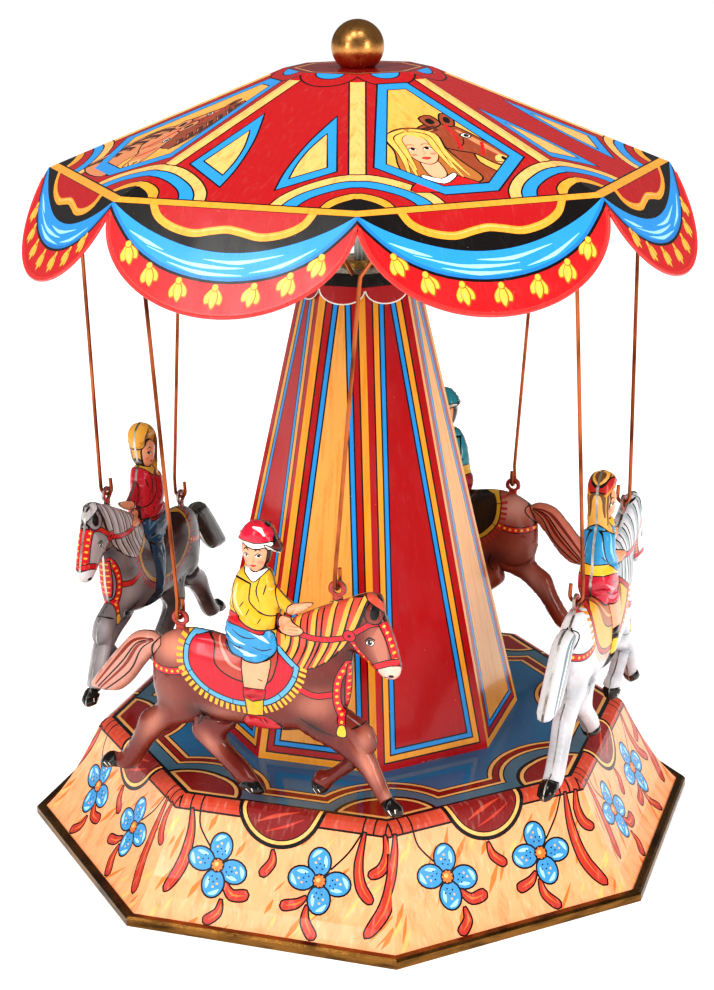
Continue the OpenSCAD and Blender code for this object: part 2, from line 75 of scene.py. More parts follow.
PALETTE = {
    "black": ("14100f", 0.1), "red": ("a50f14", 0.3), "deep_red": ("7c0d12", 0.3),
    "bright_red": ("bb1217", 0.2), "dark_red": ("7a1a18", 0.6), "brick": ("b5432c", 0.8),
    "leaf": ("b23628", 0.7), "blue": ("2688cc", 0.12), "deep_blue": ("1d72b8", 0.1),
    "pale_blue": ("98cdea", 0.2), "flower": ("3a88be", 0.35), "gold": ("e0952e", 0.7),
    "cream": ("e4ab62", 1.0), "skirt": ("ee9c6c", 1.0), "orange": ("dd6f2a", 0.5),
    "wood": ("dd9a4a", 1.0), "tan": ("cf9a5c", 0.5), "deck": ("415f6f", 0.15),
    "deck_blue": ("285d80", 0.2), "white": ("ece6da", 0.1), "tassel": ("e8b03c", 0.4),
    "tassel_dark": ("9a5a14", 0.3), "amber": ("dfa24a", 0.9), "skin": ("eba27c", 0.3),
    "skin_dark": ("d97f5c", 0.3), "lips": ("c2332c", 0.1), "hair": ("e3ae4c", 0.6),
    "hair_dark": ("a8652a", 0.4), "brown": ("8d3f22", 0.6), "brown_dark": ("4f2012", 0.4),
    "brown_light": ("c98055", 0.5), "hem": ("c8302c", 0.1), "cap_edge": ("e9e4da", 0.0),
    "blush": ("e88a6e", 0.2), "hoof": ("17120f", 0.0), "lug": ("a8362c", 0.2),
}


def linear(c):
    return c / 12.92 if c <= 0.04045 else ((c + 0.055) / 1.055) ** 2.4


def rgb(code):
    return tuple(linear(int(code[i:i + 2], 16) / 255) for i in (0, 2, 4))


def ink(name):
    code, brush = PALETTE[name]
    return (*rgb(code), brush)


# ---- flat shapes ----

def smooth(points, steps=4, closed=True):
    """A line drawn smoothly through its points."""
    p = np.array(points, float)
    n = len(p)
    out = []
    for i in range(n if closed else n - 1):
        if closed:
            a, b, c, d = p[i - 1], p[i], p[(i + 1) % n], p[(i + 2) % n]
        else:
            a, b, c, d = p[max(i - 1, 0)], p[i], p[i + 1], p[min(i + 2, n - 1)]
        for k in range(steps):
            t = k / steps
            bend = (2 * a - 5 * b + 4 * c - d) * t * t + (3 * b - a - 3 * c + d) * t ** 3
            out.append(0.5 * (2 * b + (c - a) * t + bend))
    if not closed:
        out.append(p[-1])
    return np.array(out)


def ring_points(cx, cy, rx, ry=None, start=0, stop=360, step=15):
    ry = rx if ry is None else ry
    count = max(2, int(round(abs(stop - start) / step)))
    full = abs(stop - start) >= 360
    angles = np.radians(np.linspace(start, stop, count + (0 if full else 1), endpoint=not full))
    return np.stack([cx + rx * np.cos(angles), cy + ry * np.sin(angles)], 1)


def turned(points, degrees, about=(0, 0)):
    a = math.radians(degrees)
    turn = np.array([[math.cos(a), math.sin(a)], [-math.sin(a), math.cos(a)]])
    return (np.array(points, float) - about) @ turn + about


def area(points):
    x, y = np.array(points).T
    return 0.5 * np.sum(x * np.roll(y, -1) - y * np.roll(x, -1))


def grown(points, by):
    """A closed outline moved outwards by a distance."""
    p = np.array(points, float)
    if area(p) < 0:
        p = p[::-1]
    before, after = p - np.roll(p, 1, 0), np.roll(p, -1, 0) - p
    before /= np.maximum(np.linalg.norm(before, axis=1, keepdims=True), 1e-9)
    after /= np.maximum(np.linalg.norm(after, axis=1, keepdims=True), 1e-9)
    normal = np.stack([before[:, 1] + after[:, 1], -before[:, 0] - after[:, 0]], 1)
    length = np.linalg.norm(normal, axis=1, keepdims=True)
    normal /= np.maximum(length, 1e-9)
    return p + normal * by * np.clip(2 / np.maximum(length, 1e-9), 1, 1.8)


def stroke(points, width):
    """The outline of a line of that width, or of widths from start to end."""
    p = np.array(points, float)
    w = np.interp(np.linspace(0, 1, len(p)), np.linspace(0, 1, len(np.atleast_1d(width))),
                  np.atleast_1d(width)) / 2
    t = np.gradient(p, axis=0)
    t /= np.maximum(np.linalg.norm(t, axis=1, keepdims=True), 1e-9)
    n = np.stack([-t[:, 1], t[:, 0]], 1) * w[:, None]
    return np.concatenate([p + n, (p - n)[::-1]])


class Art:
    """Shapes laid one over another. Later ones cover earlier ones."""

    def __init__(self):
        self.shapes = []

    def fill(self, colour, *loops):
        self.shapes.append((colour, [np.array(loop, float) for loop in loops]))
        return self

    def line(self, colour, points, width):
        return self.fill(colour, stroke(points, width))

    def curve(self, colour, points, width, steps=3):
        return self.line(colour, smooth(points, steps, False), width)

    def inked(self, colour, points, width=0.5):
        self.fill("black", grown(points, 1.25 * width))
        return self.fill(colour, points)

    def add(self, other, move=(0, 0), turn=0, flip=False, scale=1.0):
        for colour, loops in other.shapes:
            placed = []
            for loop in loops:
                q = loop * scale
                q = q * [-1, 1] if flip else q
                placed.append(turned(q, turn) + move)
            self.shapes.append((colour, placed))
        return self

    def both_sides(self):
        mirrored = [(c, [q * [-1, 1] for q in loops]) for c, loops in self.shapes]
        self.shapes = [s for pair in zip(self.shapes, mirrored) for s in pair]
        return self


def inside(points, loops):
    """Which points an odd number of the loops go round."""
    hit = np.zeros(len(points), bool)
    x, y = points[:, :1], points[:, 1:]
    for loop in loops:
        a, b = loop, np.roll(loop, -1, 0)
        crosses = (a[:, 1] > y) != (b[:, 1] > y)
        with np.errstate(divide="ignore", invalid="ignore"):
            at = (b[:, 0] - a[:, 0]) * (y - a[:, 1]) / (b[:, 1] - a[:, 1]) + a[:, 0]
        hit ^= (np.sum(crosses & (x < at), axis=1) % 2).astype(bool)
    return hit


def cut(outline, art, ground, lines=(), dots=()):
    """Triangles that fill an outline, split along every shape's edge, with a colour name for each."""
    verts, edges = [], []
    for loop in [np.array(outline, float)] + [q for _, loops in art.shapes for q in loops]:
        first = len(verts)
        verts.extend(Vector(p) for p in loop)
        edges.extend((first + i, first + (i + 1) % len(loop)) for i in range(len(loop)))
    for a, b in lines:
        edges.append((len(verts), len(verts) + 1))
        verts.extend((Vector(a), Vector(b)))
    verts.extend(Vector(p) for p in dots)
    points, _, faces, *_ = delaunay_2d_cdt(verts, edges, [], 0, 1e-4)
    points = np.array([tuple(p) for p in points])
    faces = np.array([f for f in faces if len(f) == 3])
    middle = points[faces].mean(1)
    kept = inside(middle, [np.array(outline, float)])
    faces, middle = faces[kept], middle[kept]
    a, b, c = (points[faces[:, i]] for i in range(3))
    size = np.abs((b - a)[:, 0] * (c - a)[:, 1] - (b - a)[:, 1] * (c - a)[:, 0])
    faces, middle = faces[size > 1e-7], middle[size > 1e-7]
    names = np.full(len(faces), ground, dtype=object)
    for colour, loops in art.shapes:
        every = np.concatenate(loops)
        low, high = every.min(0), every.max(0)
        near = np.nonzero(np.all((middle >= low) & (middle <= high), axis=1))[0]
        if len(near):
            names[near[inside(middle[near], loops)]] = colour
    solid = names != "hole"
    faces, names = faces[solid], names[solid]
    used, back = np.unique(faces, return_inverse=True)
    return points[used], back.reshape(faces.shape), names


# ---- meshes ----

def mesh_object(name, verts, faces, material, body, colours=None, uv=None, shade=False):
    """verts in mm, one colour name for each face, uv for each vertex."""
    mesh = bpy.data.meshes.new(name)
    mesh.from_pydata([tuple(v) for v in np.array(verts, float) * MM], [],
                     [tuple(int(i) for i in f) for f in faces])
    for m in material if isinstance(material, (list, tuple)) else [material]:
        mesh.materials.append(m)
    corner = np.empty(len(mesh.loops), int)
    mesh.loops.foreach_get("vertex_index", corner)
    if colours is not None:
        paint = mesh.color_attributes.new("paint", "FLOAT_COLOR", "CORNER")
        table = {c: ink(c) for c in set(colours)}
        counts = [len(f) for f in faces]
        flat = np.repeat(np.array([table[c] for c in colours]), counts, axis=0)
        paint.data.foreach_set("color", flat.astype(np.float32).ravel())
    if uv is not None:
        layer = mesh.uv_layers.new(name="art")
        layer.data.foreach_set("uv", (np.array(uv, float)[corner] / 100).astype(np.float32).ravel())
    if shade:
        mesh.shade_smooth()
    else:
        mesh.shade_flat()
    mesh.update()
    obj = bpy.data.objects.new(name, mesh)
    bpy.context.scene.collection.objects.link(obj)
    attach(obj, body)
    return obj


def side_axes(side, turn=0.0):
    a = math.radians(45 * side + 22.5 + turn)
    out = np.array([math.cos(a), math.sin(a), 0])
    return out, np.array([-out[1], out[0], 0])


def on_panel(points, profile, side, turn, lift):
    """(u, v) to a place in space, lifted off the surface. Rows of profile are v, apothem, height."""
    prof = np.array(profile, float)
    step = np.diff(prof[:, 1:], axis=0)
    step /= np.linalg.norm(step, axis=1, keepdims=True)
    normal = np.stack([-step[:, 1], step[:, 0]], 1)
    at = np.concatenate([normal[:1], (normal[:-1] + normal[1:]) / 2, normal[-1:]])
    at /= np.linalg.norm(at, axis=1, keepdims=True)
    row = prof[:, 1:] + at * lift
    a = np.interp(points[:, 1], prof[:, 0], row[:, 0])
    z = np.interp(points[:, 1], prof[:, 0], row[:, 1])
    out, along = side_axes(side, turn)
    bare = np.interp(points[:, 1], prof[:, 0], prof[:, 1])
    u = points[:, 0] * a / np.maximum(bare, 1e-6)
    return out * a[:, None] + along * u[:, None] + np.array([0, 0, 1]) * z[:, None]


def panel_outline(profile):
    right = [(a * HALF, v) for v, a, _ in profile]
    left = [(-a * HALF, v) for v, a, _ in profile]
    return np.array(right + left[::-1])


def printed_panels(name, profile, arts, ground, material, body, turn=0.0, outline=None, lift=0.06,
                   back=None):
    """One mesh round eight sides. The drawings in arts take turns. back gives the sheet an inner face."""
    shape = panel_outline(profile) if outline is None else outline
    bends = [((-a * HALF - 1, v), (a * HALF + 1, v)) for v, a, _ in profile[1:-1]]
    different = {id(art): art for art in arts}
    done = {key: cut(shape, art, ground, bends) for key, art in different.items()}
    verts, faces, colours, uvs, slots = [], [], [], [], []
    for side in range(SIDES):
        points, tris, names = done[id(arts[side % len(arts)])]
        first = sum(len(v) for v in verts)
        verts.append(on_panel(points, profile, side, turn, lift))
        faces.extend(tris[:, ::-1] + first)
        colours.extend(names)
        uvs.append(points + [230.0 * side, 0])
        slots.extend([0] * len(tris))
        if back is not None:
            first = sum(len(v) for v in verts)
            verts.append(on_panel(points, profile, side, turn, lift - TIN))
            faces.extend(tris + first)
            colours.extend(names)
            uvs.append(points + [230.0 * side, 0])
            slots.extend([1] * len(tris))
    obj = mesh_object(name, np.concatenate(verts), faces, [material] + ([back] if back else []), body,
                      colours, np.concatenate(uvs))
    obj.data.polygons.foreach_set("material_index", slots)
    return obj


TUBE_SIDES = 8


def tube(name, path, radius, material, body):
    """A round bar along points in mm."""
    p = np.array(path, float)
    t = np.gradient(p, axis=0)
    t /= np.linalg.norm(t, axis=1, keepdims=True)
    n = np.cross(t[0], [0.3, 0.2, 1.0])
    rings = []
    for i in range(len(p)):
        n = n - (n @ t[i]) * t[i]
        n /= np.linalg.norm(n)
        b = np.cross(t[i], n)
        angle = np.linspace(0, 2 * math.pi, TUBE_SIDES, endpoint=False)
        rings.append(p[i] + radius * (np.cos(angle)[:, None] * n + np.sin(angle)[:, None] * b))
    verts = np.concatenate(rings)
    faces = []
    for i in range(len(p) - 1):
        for j in range(TUBE_SIDES):
            k = (j + 1) % TUBE_SIDES
            low, high = i * TUBE_SIDES, (i + 1) * TUBE_SIDES
            faces.append((low + j, low + k, high + k, high + j))
    faces.append(tuple(range(TUBE_SIDES))[::-1])
    faces.append(tuple((len(p) - 1) * TUBE_SIDES + j for j in range(TUBE_SIDES)))
    return mesh_object(name, verts, faces, material, body, shade=True)


# ---- materials ----

class Nodes:
    """A material and the nodes that feed its shader."""

    def __init__(self, name):
        self.material = bpy.data.materials.new(name)
        self.material.use_nodes = True
        self.tree = self.material.node_tree
        self.shader = self.tree.nodes["Principled BSDF"]

    def new(self, kind, **values):
        node = self.tree.nodes.new(kind)
        for key, value in values.items():
            if key in node.inputs.keys():
                node.inputs[key].default_value = value
            else:
                setattr(node, key, value)
        return node

    def link(self, a, b):
        self.tree.links.new(a, b)

    def noise(self, coords, scale, detail=3.0, stretch=(1, 1, 1), turn=(0, 0, 0)):
        mapping = self.new("ShaderNodeMapping")
        mapping.inputs["Scale"].default_value = stretch
        mapping.inputs["Rotation"].default_value = turn
        self.link(coords, mapping.inputs["Vector"])
        noise = self.new("ShaderNodeTexNoise", Scale=scale, Detail=detail)
        self.link(mapping.outputs["Vector"], noise.inputs["Vector"])
        return noise.outputs["Fac"]

    def ramp(self, value, low, high, low_out=0.0, high_out=1.0):
        node = self.new("ShaderNodeMapRange")
        for key, x in zip(("From Min", "From Max", "To Min", "To Max"), (low, high, low_out, high_out)):
            node.inputs[key].default_value = x
        self.link(value, node.inputs["Value"])
        return node.outputs["Result"]

    def times(self, a, b):
        node = self.new("ShaderNodeMath", operation="MULTIPLY")
        self.link(a, node.inputs[0])
        if isinstance(b, float):
            node.inputs[1].default_value = b
        else:
            self.link(b, node.inputs[1])
        return node.outputs[0]

    def mix(self, factor, a, b, mode="MIX"):
        node = self.new("ShaderNodeMix", data_type="RGBA", blend_type=mode)
        self.link(factor, node.inputs[0])
        for socket, value in ((node.inputs[6], a), (node.inputs[7], b)):
            if isinstance(value, tuple):
                socket.default_value = (*value[:3], 1)
            else:
                self.link(value, socket)
        return node.outputs[2]

    def bump(self, height, distance, strength=1.0):
        node = self.new("ShaderNodeBump")
        node.inputs["Strength"].default_value = strength
        node.inputs["Distance"].default_value = distance
        self.link(height, node.inputs["Height"])
        self.link(node.outputs["Normal"], self.shader.inputs["Normal"])

    def set(self, **values):
        for key, value in values.items():
            socket = self.shader.inputs[key.replace("_", " ")]
            if isinstance(value, bpy.types.NodeSocket):
                self.link(value, socket)
            else:
                socket.default_value = value
        return self.material


def litho(name, roughness=0.22, waviness=0.00025, stretch=(1.0, 5.0, 1.0), turn=0.5, streaks=0.28,
          ior=1.42, brush_size=9.0):
    """Ink on tin under clear varnish: brushy colour, scuffs that dull the gloss, sheet not quite flat."""
    m = Nodes(name)
    paint = m.new("ShaderNodeAttribute", attribute_name="paint")
    uv = m.new("ShaderNodeUVMap", uv_map="art").outputs["UV"]
    here = m.new("ShaderNodeTexCoord").outputs["Object"]
    brush = m.ramp(m.noise(uv, brush_size, 4.0, (stretch[0] * 6, stretch[1] * 0.35, 1), (0, 0, turn)),
                   0.48, 0.72)
    fine = m.ramp(m.noise(uv, 90.0, 3.0, (2.5, 0.6, 1), (0, 0, turn)), 0.35, 0.75, 0.25, 1.0)
    amount = m.times(m.times(m.times(brush, fine), paint.outputs["Alpha"]), 0.9)
    streaked = m.mix(amount, paint.outputs["Color"], (0.88, 0.42, 0.18), "MULTIPLY")
    light = m.ramp(m.noise(uv, 26.0, 3.0, (3, 0.7, 1), (0, 0, -turn)), 0.55, 0.8, 0.0, streaks)
    lifted = m.mix(m.times(light, paint.outputs["Alpha"]), streaked, (0.98, 0.86, 0.68))
    speck = m.ramp(m.noise(here, 900.0, 2.0), 0.74, 0.8, 0.0, 0.25)
    speckled = m.mix(speck, lifted, (0.75, 0.62, 0.5))
    scuff = m.ramp(m.noise(here, 160.0, 5.0, (1, 1, 0.3)), 0.4, 0.8, roughness, roughness + 0.12)
    m.bump(m.noise(here, 26.0, 2.0), waviness)
    return m.set(Base_Color=speckled, Roughness=scuff, IOR=ior, Coat_Weight=0.15, Coat_Roughness=0.05)


def metal(name, colour, dark, roughness, scale=120.0, stretch=(1, 1, 1), grain=0.00002):
    """Bare or lacquered metal with tarnish in patches and a fine grain."""
    m = Nodes(name)
    here = m.new("ShaderNodeTexCoord").outputs["Object"]
    patch = m.ramp(m.noise(here, scale, 4.0, stretch), 0.42, 0.72)
    grainy = m.noise(here, scale * 12, 3.0, stretch)
    m.bump(grainy, grain)
    return m.set(Base_Color=m.mix(patch, rgb(colour), rgb(dark)), Metallic=1.0,
                 Roughness=m.ramp(grainy, 0.3, 0.7, roughness - 0.06, roughness + 0.1))


LITHO = litho("litho_print", streaks=0.1)
LITHO_SKIRT = litho("litho_skirt", 0.2, 0.0002, (1.0, 6.0, 1.0), -0.5, 0.2, brush_size=4.0)
LITHO_TOWER = litho("litho_tower", 0.16, 0.0002, (1.2, 1.2, 1.0), 0.0, 0.05, 1.33)
BARE_TIN = metal("bare_tin", "c9c6bd", "8f8a80", 0.24, 60.0)
TIN_INSIDE = metal("tin_inside", "b9b5aa", "77716a", 0.34, 40.0)
GILT = metal("gilt_rim", "8c6230", "45301a", 0.3, 90.0, (1, 1, 4))
BALL = metal("gilt_ball", "e2a562", "b87a40", 0.3, 45.0)
BRASS = metal("motor_brass", "cfa75a", "8d6a30", 0.3, 150.0)
STEEL = metal("motor_steel", "a9a8a4", "6d6b67", 0.32, 140.0)
BLUED = metal("spring_steel", "4b5a78", "232c40", 0.28, 160.0)
NICKEL = metal("key_nickel", "bdbab2", "7c786f", 0.22, 90.0)
COPPER = metal("copper_wire", "b8663c", "5e2c18", 0.3, 260.0, (1, 1, 0.25))

# ---- canopy ----

CROWN_A = CROWN_R * FLAT
ROOF_V = 82.4
ROOF_SLOPE = (EAVE_HALF - CROWN_HALF) / ROOF_V
VALANCE_FLARE = 0.645
VALANCE_STRETCH = math.hypot(1, VALANCE_FLARE * FLAT)
NOTCH_V = ROOF_V + 2.8 * VALANCE_STRETCH
SCALLOP_DEPTH = 26.7 * VALANCE_STRETCH
SCALLOP_HALF = 41.64
PANEL_DROP = 30.5
BALL_SEAT = 0.6
FOOT_V = ROOF_V + PANEL_DROP * VALANCE_STRETCH
CANOPY = [(-CROWN_A + BALL_SEAT, BALL_SEAT, CROWN_H), (0, CROWN_A, CROWN_H),
          (ROOF_V, EAVE_R * FLAT, EAVE_H), (FOOT_V, (EAVE_R + VALANCE_FLARE * PANEL_DROP) * FLAT,
                                            EAVE_H - PANEL_DROP)]


def roof_half(v):
    return CROWN_HALF + ROOF_SLOPE * v


def ridge_strip(top, bottom, width):
    return [(roof_half(top) + 1, top), (roof_half(bottom) + 1, bottom),
            (roof_half(bottom) - width, bottom), (roof_half(top) - width, top)]


def corner_waves(art):
    lines = [
        [(32.3, 59.7), (27.5, 60.6), (22.5, 63.2), (16.5, 68.2), (12.2, 74), (10.6, 79.5)],
        [(33.7, 63.3), (29, 64.2), (24.5, 66.7), (19.2, 71), (16, 75.5), (14.8, 79.5)],
        [(35, 66.8), (31, 67.8), (27, 70), (22.8, 73.5), (20.6, 77), (20, 79.5)],
        [(36.1, 69.8), (33.3, 70.6), (30.6, 72.3), (28.4, 74.8), (27.5, 77.5), (27.2, 79.5)],
        [(37.3, 73), (35.6, 73.6), (33.5, 75), (31.6, 77), (30.2, 79.5)],
    ]
    for points, colour in zip(lines, ("cream", "blue", "red", "gold", "black")):
        edge = smooth([(points[0][0] + 8, points[0][1] + 1.2)] + points, 4, False)
        side = np.array([(60, 79.5), (60, points[0][1] + 1.2)])
        art.fill(colour, np.concatenate([edge, side]))
        art.line("black", edge, 0.55)


def roof_frame():
    art = Art()
    art.fill("black", ridge_strip(5, 66, 3.2))
    art.fill("cream", ridge_strip(5, 66, 2.6))
    corner_waves(art)
    art.both_sides()
    art.inked("red", ring_points(0, -1, 10.4, 9.2, 0, 180), 0.5)
    art.inked("blue", ring_points(0, -0.2, 4.9, 3.5, 0, 180), 0.4)
    art.fill("deep_red", [(-12, -30), (12, -30), (12, -0.2), (-12, -0.2)])
    art.fill("tan", [(-12, -4.1), (12, -4.1), (12, -3.2), (-12, -3.2)])
    art.fill("black", [(-50, 78.4), (50, 78.4), (50, ROOF_V + 0.3), (-50, ROOF_V + 0.3)])
    art.fill("gold", [(-50, 79), (50, 79), (50, ROOF_V - 0.3), (-50, ROOF_V - 0.3)])
    return art


def fins(art):
    """Two curved fins, either side of a plain red roof panel."""
    fin = Art()
    outer = np.concatenate([smooth([(9.5, 70.2), (8.6, 59), (9.6, 43), (12.8, 27)], 5, False),
                            [(24.8, 58.4)]])
    inner = np.concatenate([smooth([(11.5, 63.4), (10.9, 56), (11.4, 47), (13.5, 37.6)], 4, False),
                            [(20.8, 56.4)]])
    fin.inked("blue", outer, 0.5)
    fin.inked("cream", inner, 0.45)
    art.add(fin.both_sides())
    return art


def window(art, picture):
    """A framed picture in the middle of a roof panel."""
    outer = np.array([(-5.1, 7), (5.1, 7), (25.3, 56.2), (8.8, 73.8), (-8.8, 73.8), (-25.3, 56.2)])
    inner = np.array([(-3.1, 11), (3.1, 11), (20.6, 54.8), (7.4, 69.1), (-7.4, 69.1), (-20.6, 54.8)])
    art.inked("blue", outer, 0.5)
    art.inked("amber", inner, 0.45)
    art.add(picture)
    art.fill("black", grown(inner, 0.45), inner)
    art.fill("blue", outer, grown(inner, 0.45))
    return art


def horse_head(coat="brown"):
    """A horse's head and neck, looking down to the right."""
    art = Art()
    neck = smooth([(-12, 22), (-13, 8), (-11, -5), (-5, -11), (2, -10), (6, -5), (5, 3), (4, 12),
                   (8, 22)], 4)
    art.inked(coat, neck, 0.45)
    head = smooth([(-3, -10), (2, -11.5), (6, -7.5), (10, -1), (14.5, 7), (15.4, 12.5), (12.4, 15),
                   (9, 13), (5, 7), (0, 4.5), (-5, 0)], 4)
    art.inked(coat, head, 0.45)
    art.fill("brown_light", smooth([(4, -7.5), (7.6, -3), (12, 5), (13.6, 10.6), (10.4, 6), (6, -1.5)],
                                   3))
    art.fill("cream", smooth([(10.6, 9.6), (13.2, 8.6), (15, 12), (12.6, 14.4), (10, 12.8)], 3))
    for ear in ([(-3.4, -9.6), (-5, -15), (-1, -16.4), (0.6, -11.4)],
                [(1.2, -11.4), (3, -17), (6, -15.2), (4.4, -9.6)]):
        art.inked(coat, smooth(ear, 3), 0.45)
        art.fill("black", smooth([np.mean(ear, 0) * 0.5 + np.array(q) * 0.5 for q in ear], 3))
    for k in range(6):
        y = -9 + 4.9 * k
        lock = smooth([(-2 - k, y), (-8 - 0.7 * k, y + 2), (-11.4 - 0.3 * k, y + 7.5)], 3, False)
        art.inked("brown_dark", stroke(lock, [2.6, 2.0, 0.4]), 0.2)
        art.curve("brown_light", [(-3 - k, y + 1), (-7.6 - 0.7 * k, y + 2.6)], [0.5, 0.3])
    art.inked("white", smooth([(4.6, -3.8), (6.2, -4.8), (7.6, -3.2), (6.1, -2.2)], 2), 0.4)
    art.fill("black", ring_points(6.3, -3.5, 0.95, step=45))
    art.fill("black", ring_points(13.0, 10.8, 0.8, 1.2, step=45))
    art.curve("black", [(14.6, 14), (12, 13), (9.8, 12.2)], 0.45)
    art.curve("black", [(0.5, 3.5), (3.4, 1.2), (4.6, -2)], 0.4)
    art.curve("bright_red", [(9.6, 0.8), (8.6, 4.6), (7.0, 8.4)], 1.1)
    art.curve("bright_red", [(1.8, -10.6), (2.6, -4), (1.4, 4.4)], 1.1)
    return art


def girl():
    """A calm, plain doll-like girl, to the front, with long fair hair."""
    art = Art()
    art.inked("hair_dark", smooth([(-9.4, 22), (-11.6, 12), (-9.4, 2), (-9.6, -6), (-5.5, -11),
                                   (0, -12.4), (5.6, -11), (9.4, -5.6), (9.2, 2), (11.4, 11), (14.6, 21),
                                   (9, 24), (0, 20)], 4), 0.5)
    art.inked("bright_red", smooth([(-12, 27), (-8, 20.5), (-3, 18.4), (3, 18.4), (8, 20.5), (12, 27)],
                                   4), 0.45)
    art.inked("skin", smooth([(-2.6, 8), (2.6, 8), (3.2, 17), (0, 20), (-3.2, 17)], 3), 0.35)
    art.inked("white", smooth([(-5.4, 17.4), (0, 20.4), (5.4, 17.4), (5.8, 19.2), (0, 23.2),
                               (-5.8, 19.2)], 3), 0.35)
    art.inked("skin", smooth([(-5.9, -2), (-5.5, 3.5), (-3.2, 8.8), (0, 10.8), (3.2, 8.8), (5.5, 3.5),
                              (5.9, -2), (4.2, -6.8), (0, -8.2), (-4.2, -6.8)], 4), 0.35)
    strands = (((0.4, -11), (6.6, -8), (6.4, 3), (8, 20)),
               ((1, -11.6), (8, -7.4), (7.8, 4), (10.6, 19.4)),
               ((0.6, -9.6), (5.2, -6.4), (5.8, 1.4), (6.4, 14)))
    for side in (1, -1):
        for strand in strands:
            lock = smooth(strand, 5, False) * [side, 1]
            art.line("black", lock, [1.4, 3.1, 2.8, 0.7])
            art.line("hair", lock, [1.0, 2.5, 2.2, 0.4])
            art.line("cream", lock + [0.3 * side, 0], [0.2, 0.5, 0.2])
    art.curve("hair", [(-1.4, -9.4), (1.6, -8), (3.6, -4.6)], [2.0, 1.8, 0.4], 4)
    art.add(Art().fill("skin_dark", ring_points(3.5, 4.6, 1.2, 0.8, step=30)).both_sides())
    eye = Art()
    eye.fill("white", smooth([(1.3, 1.1), (2.6, 0.3), (4.0, 1.1), (2.6, 1.8)], 3))
    eye.fill("black", ring_points(2.6, 1.0, 0.8, step=45))
    eye.curve("black", [(1.0, 1.2), (2.6, 0), (4.3, 0.9)], [0.3, 0.6, 0.3])
    eye.curve("hair_dark", [(1.2, -1.3), (2.8, -2.1), (4.4, -1.3)], 0.5)
    art.add(eye.both_sides())
    art.curve("skin_dark", [(0.3, 1.8), (0.8, 4.2), (-0.3, 4.6)], 0.45)
    art.inked("lips", smooth([(-1.6, 6.9), (0, 6.4), (1.6, 6.9), (0, 7.9)], 3), 0.15)
    return art


def tassel():
    """Three hanging lobes under a knot."""
    art = Art()
    for x, reach, tilt in ((-2.0, 6.3, 24), (2.0, 6.3, -24), (0, 7.3, 0)):
        lobe = turned(smooth([(-0.4, 0.8), (-1.35, 4.2), (0, reach), (1.35, 4.2), (0.4, 0.8)], 3), tilt)
        art.fill("tassel_dark", grown(lobe, 0.32) + [0.12, 0.12])
        art.fill("tassel", lobe)
        art.line("cream", turned([(-0.2, 3), (-0.3, reach - 1.4)], tilt), 0.45)
    art.fill("tassel_dark", ring_points(0.1, 0.4, 1.25, 1.35, step=30))
    art.fill("tassel", ring_points(0, 0.3, 1.0, 1.1, step=30))
    return art


def swag(depths, half=SCALLOP_HALF):
    """A line that hangs from one corner of the eave to the other, closed above the eave."""
    right = smooth([(-x, y) for x, y in depths[:0:-1]] + depths, 4, False) + [0, ROOF_V]
    return right, np.concatenate([right, [(half + 9, ROOF_V), (-half - 9, ROOF_V)]])


def valance(art):
    """The scallop's hem, blue swag, black and red grounds, gold braid and tassels."""
    art.fill("bright_red", [(-60, ROOF_V), (60, ROOF_V), (60, 130), (-60, 130)])
    edge = smooth(ring_points(0, NOTCH_V, SCALLOP_HALF, SCALLOP_DEPTH, 0, 180, 5), 1, False)
    art.fill("hem", stroke(edge, 2.4))
    _, low_area = swag([(0, 22.8), (16.5, 20.4), (29.5, 14.0), (37.8, 5.6), (42, -0.5)])
    art.fill("black", grown(low_area, 0.9))
    art.fill("deep_blue", low_area)
    art.fill("blue", grown(low_area, -1.1))
    for points in ([(-26, 13.2), (-12, 17.6), (0, 18.6), (8, 18.2)], [(-6, 16.2), (6, 16.6), (20, 13.2)],
                   [(-18, 17.8), (-6, 20.6), (8, 20.6)], [(10, 19.6), (20, 16.6), (30, 10.6)],
                   [(-33, 8.6), (-26, 12), (-20, 14.2)]):
        art.curve("pale_blue", [(x, y + ROOF_V) for x, y in points], [0.1, 1.3, 0.15], 4)
    _, top_area = swag([(0, 13.8), (12, 12.6), (24, 9), (34, 4.2), (42, -1.2)])
    art.fill("black", top_area)
    gold, gold_area = swag([(0, 6.4), (5, 7.1), (11.5, 8.2), (19, 6.6), (24.5, 3.4), (27, -1)], 20)
    art.fill("red", gold_area)
    art.line("gold", gold, 2.5)
    art.curve("cream", gold[6:-6] - [0, 0.5], [0.1, 0.6, 0.1], 1)
    for u, v in ((0, 24.6), (12.6, 23.2), (23.6, 19.2), (32.4, 12.8)):
        for s in {u, -u}:
            art.add(tassel(), move=(s, v + ROOF_V), turn=0.5 * s, scale=0.95)
    return art


def canopy_outline():
    arc = ring_points(0, NOTCH_V, SCALLOP_HALF, SCALLOP_DEPTH, 0, 180, 4)
    right = [(BALL_SEAT * HALF, BALL_SEAT - CROWN_A), (CROWN_HALF, 0), (EAVE_HALF, ROOF_V)]
    return np.concatenate([right, arc, [(-x, y) for x, y in right[::-1]]])


red_roof = valance(fins(roof_frame()))
girl_roof = Art().add(horse_head(), (5.4, 45), scale=1.02).add(girl(), (-6.6, 46.5), scale=0.92)
girl_roof = valance(window(roof_frame(), girl_roof))
horses_roof = Art().add(horse_head(), (4.4, 35), flip=True, scale=0.82)
horses_roof.add(horse_head("brown_light"), (-3, 54), scale=0.98)
horses_roof = valance(window(roof_frame(), horses_roof))
canopy = printed_panels("canopy_print", CANOPY, [horses_roof, red_roof, girl_roof, red_roof], "red",
                        LITHO, "rotor", REST_TURN, canopy_outline(), 0.0, TIN_INSIDE)
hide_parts("canopy_shell")

HEM_RED = litho("hem_red", 0.25)
HEM_R = 0.55


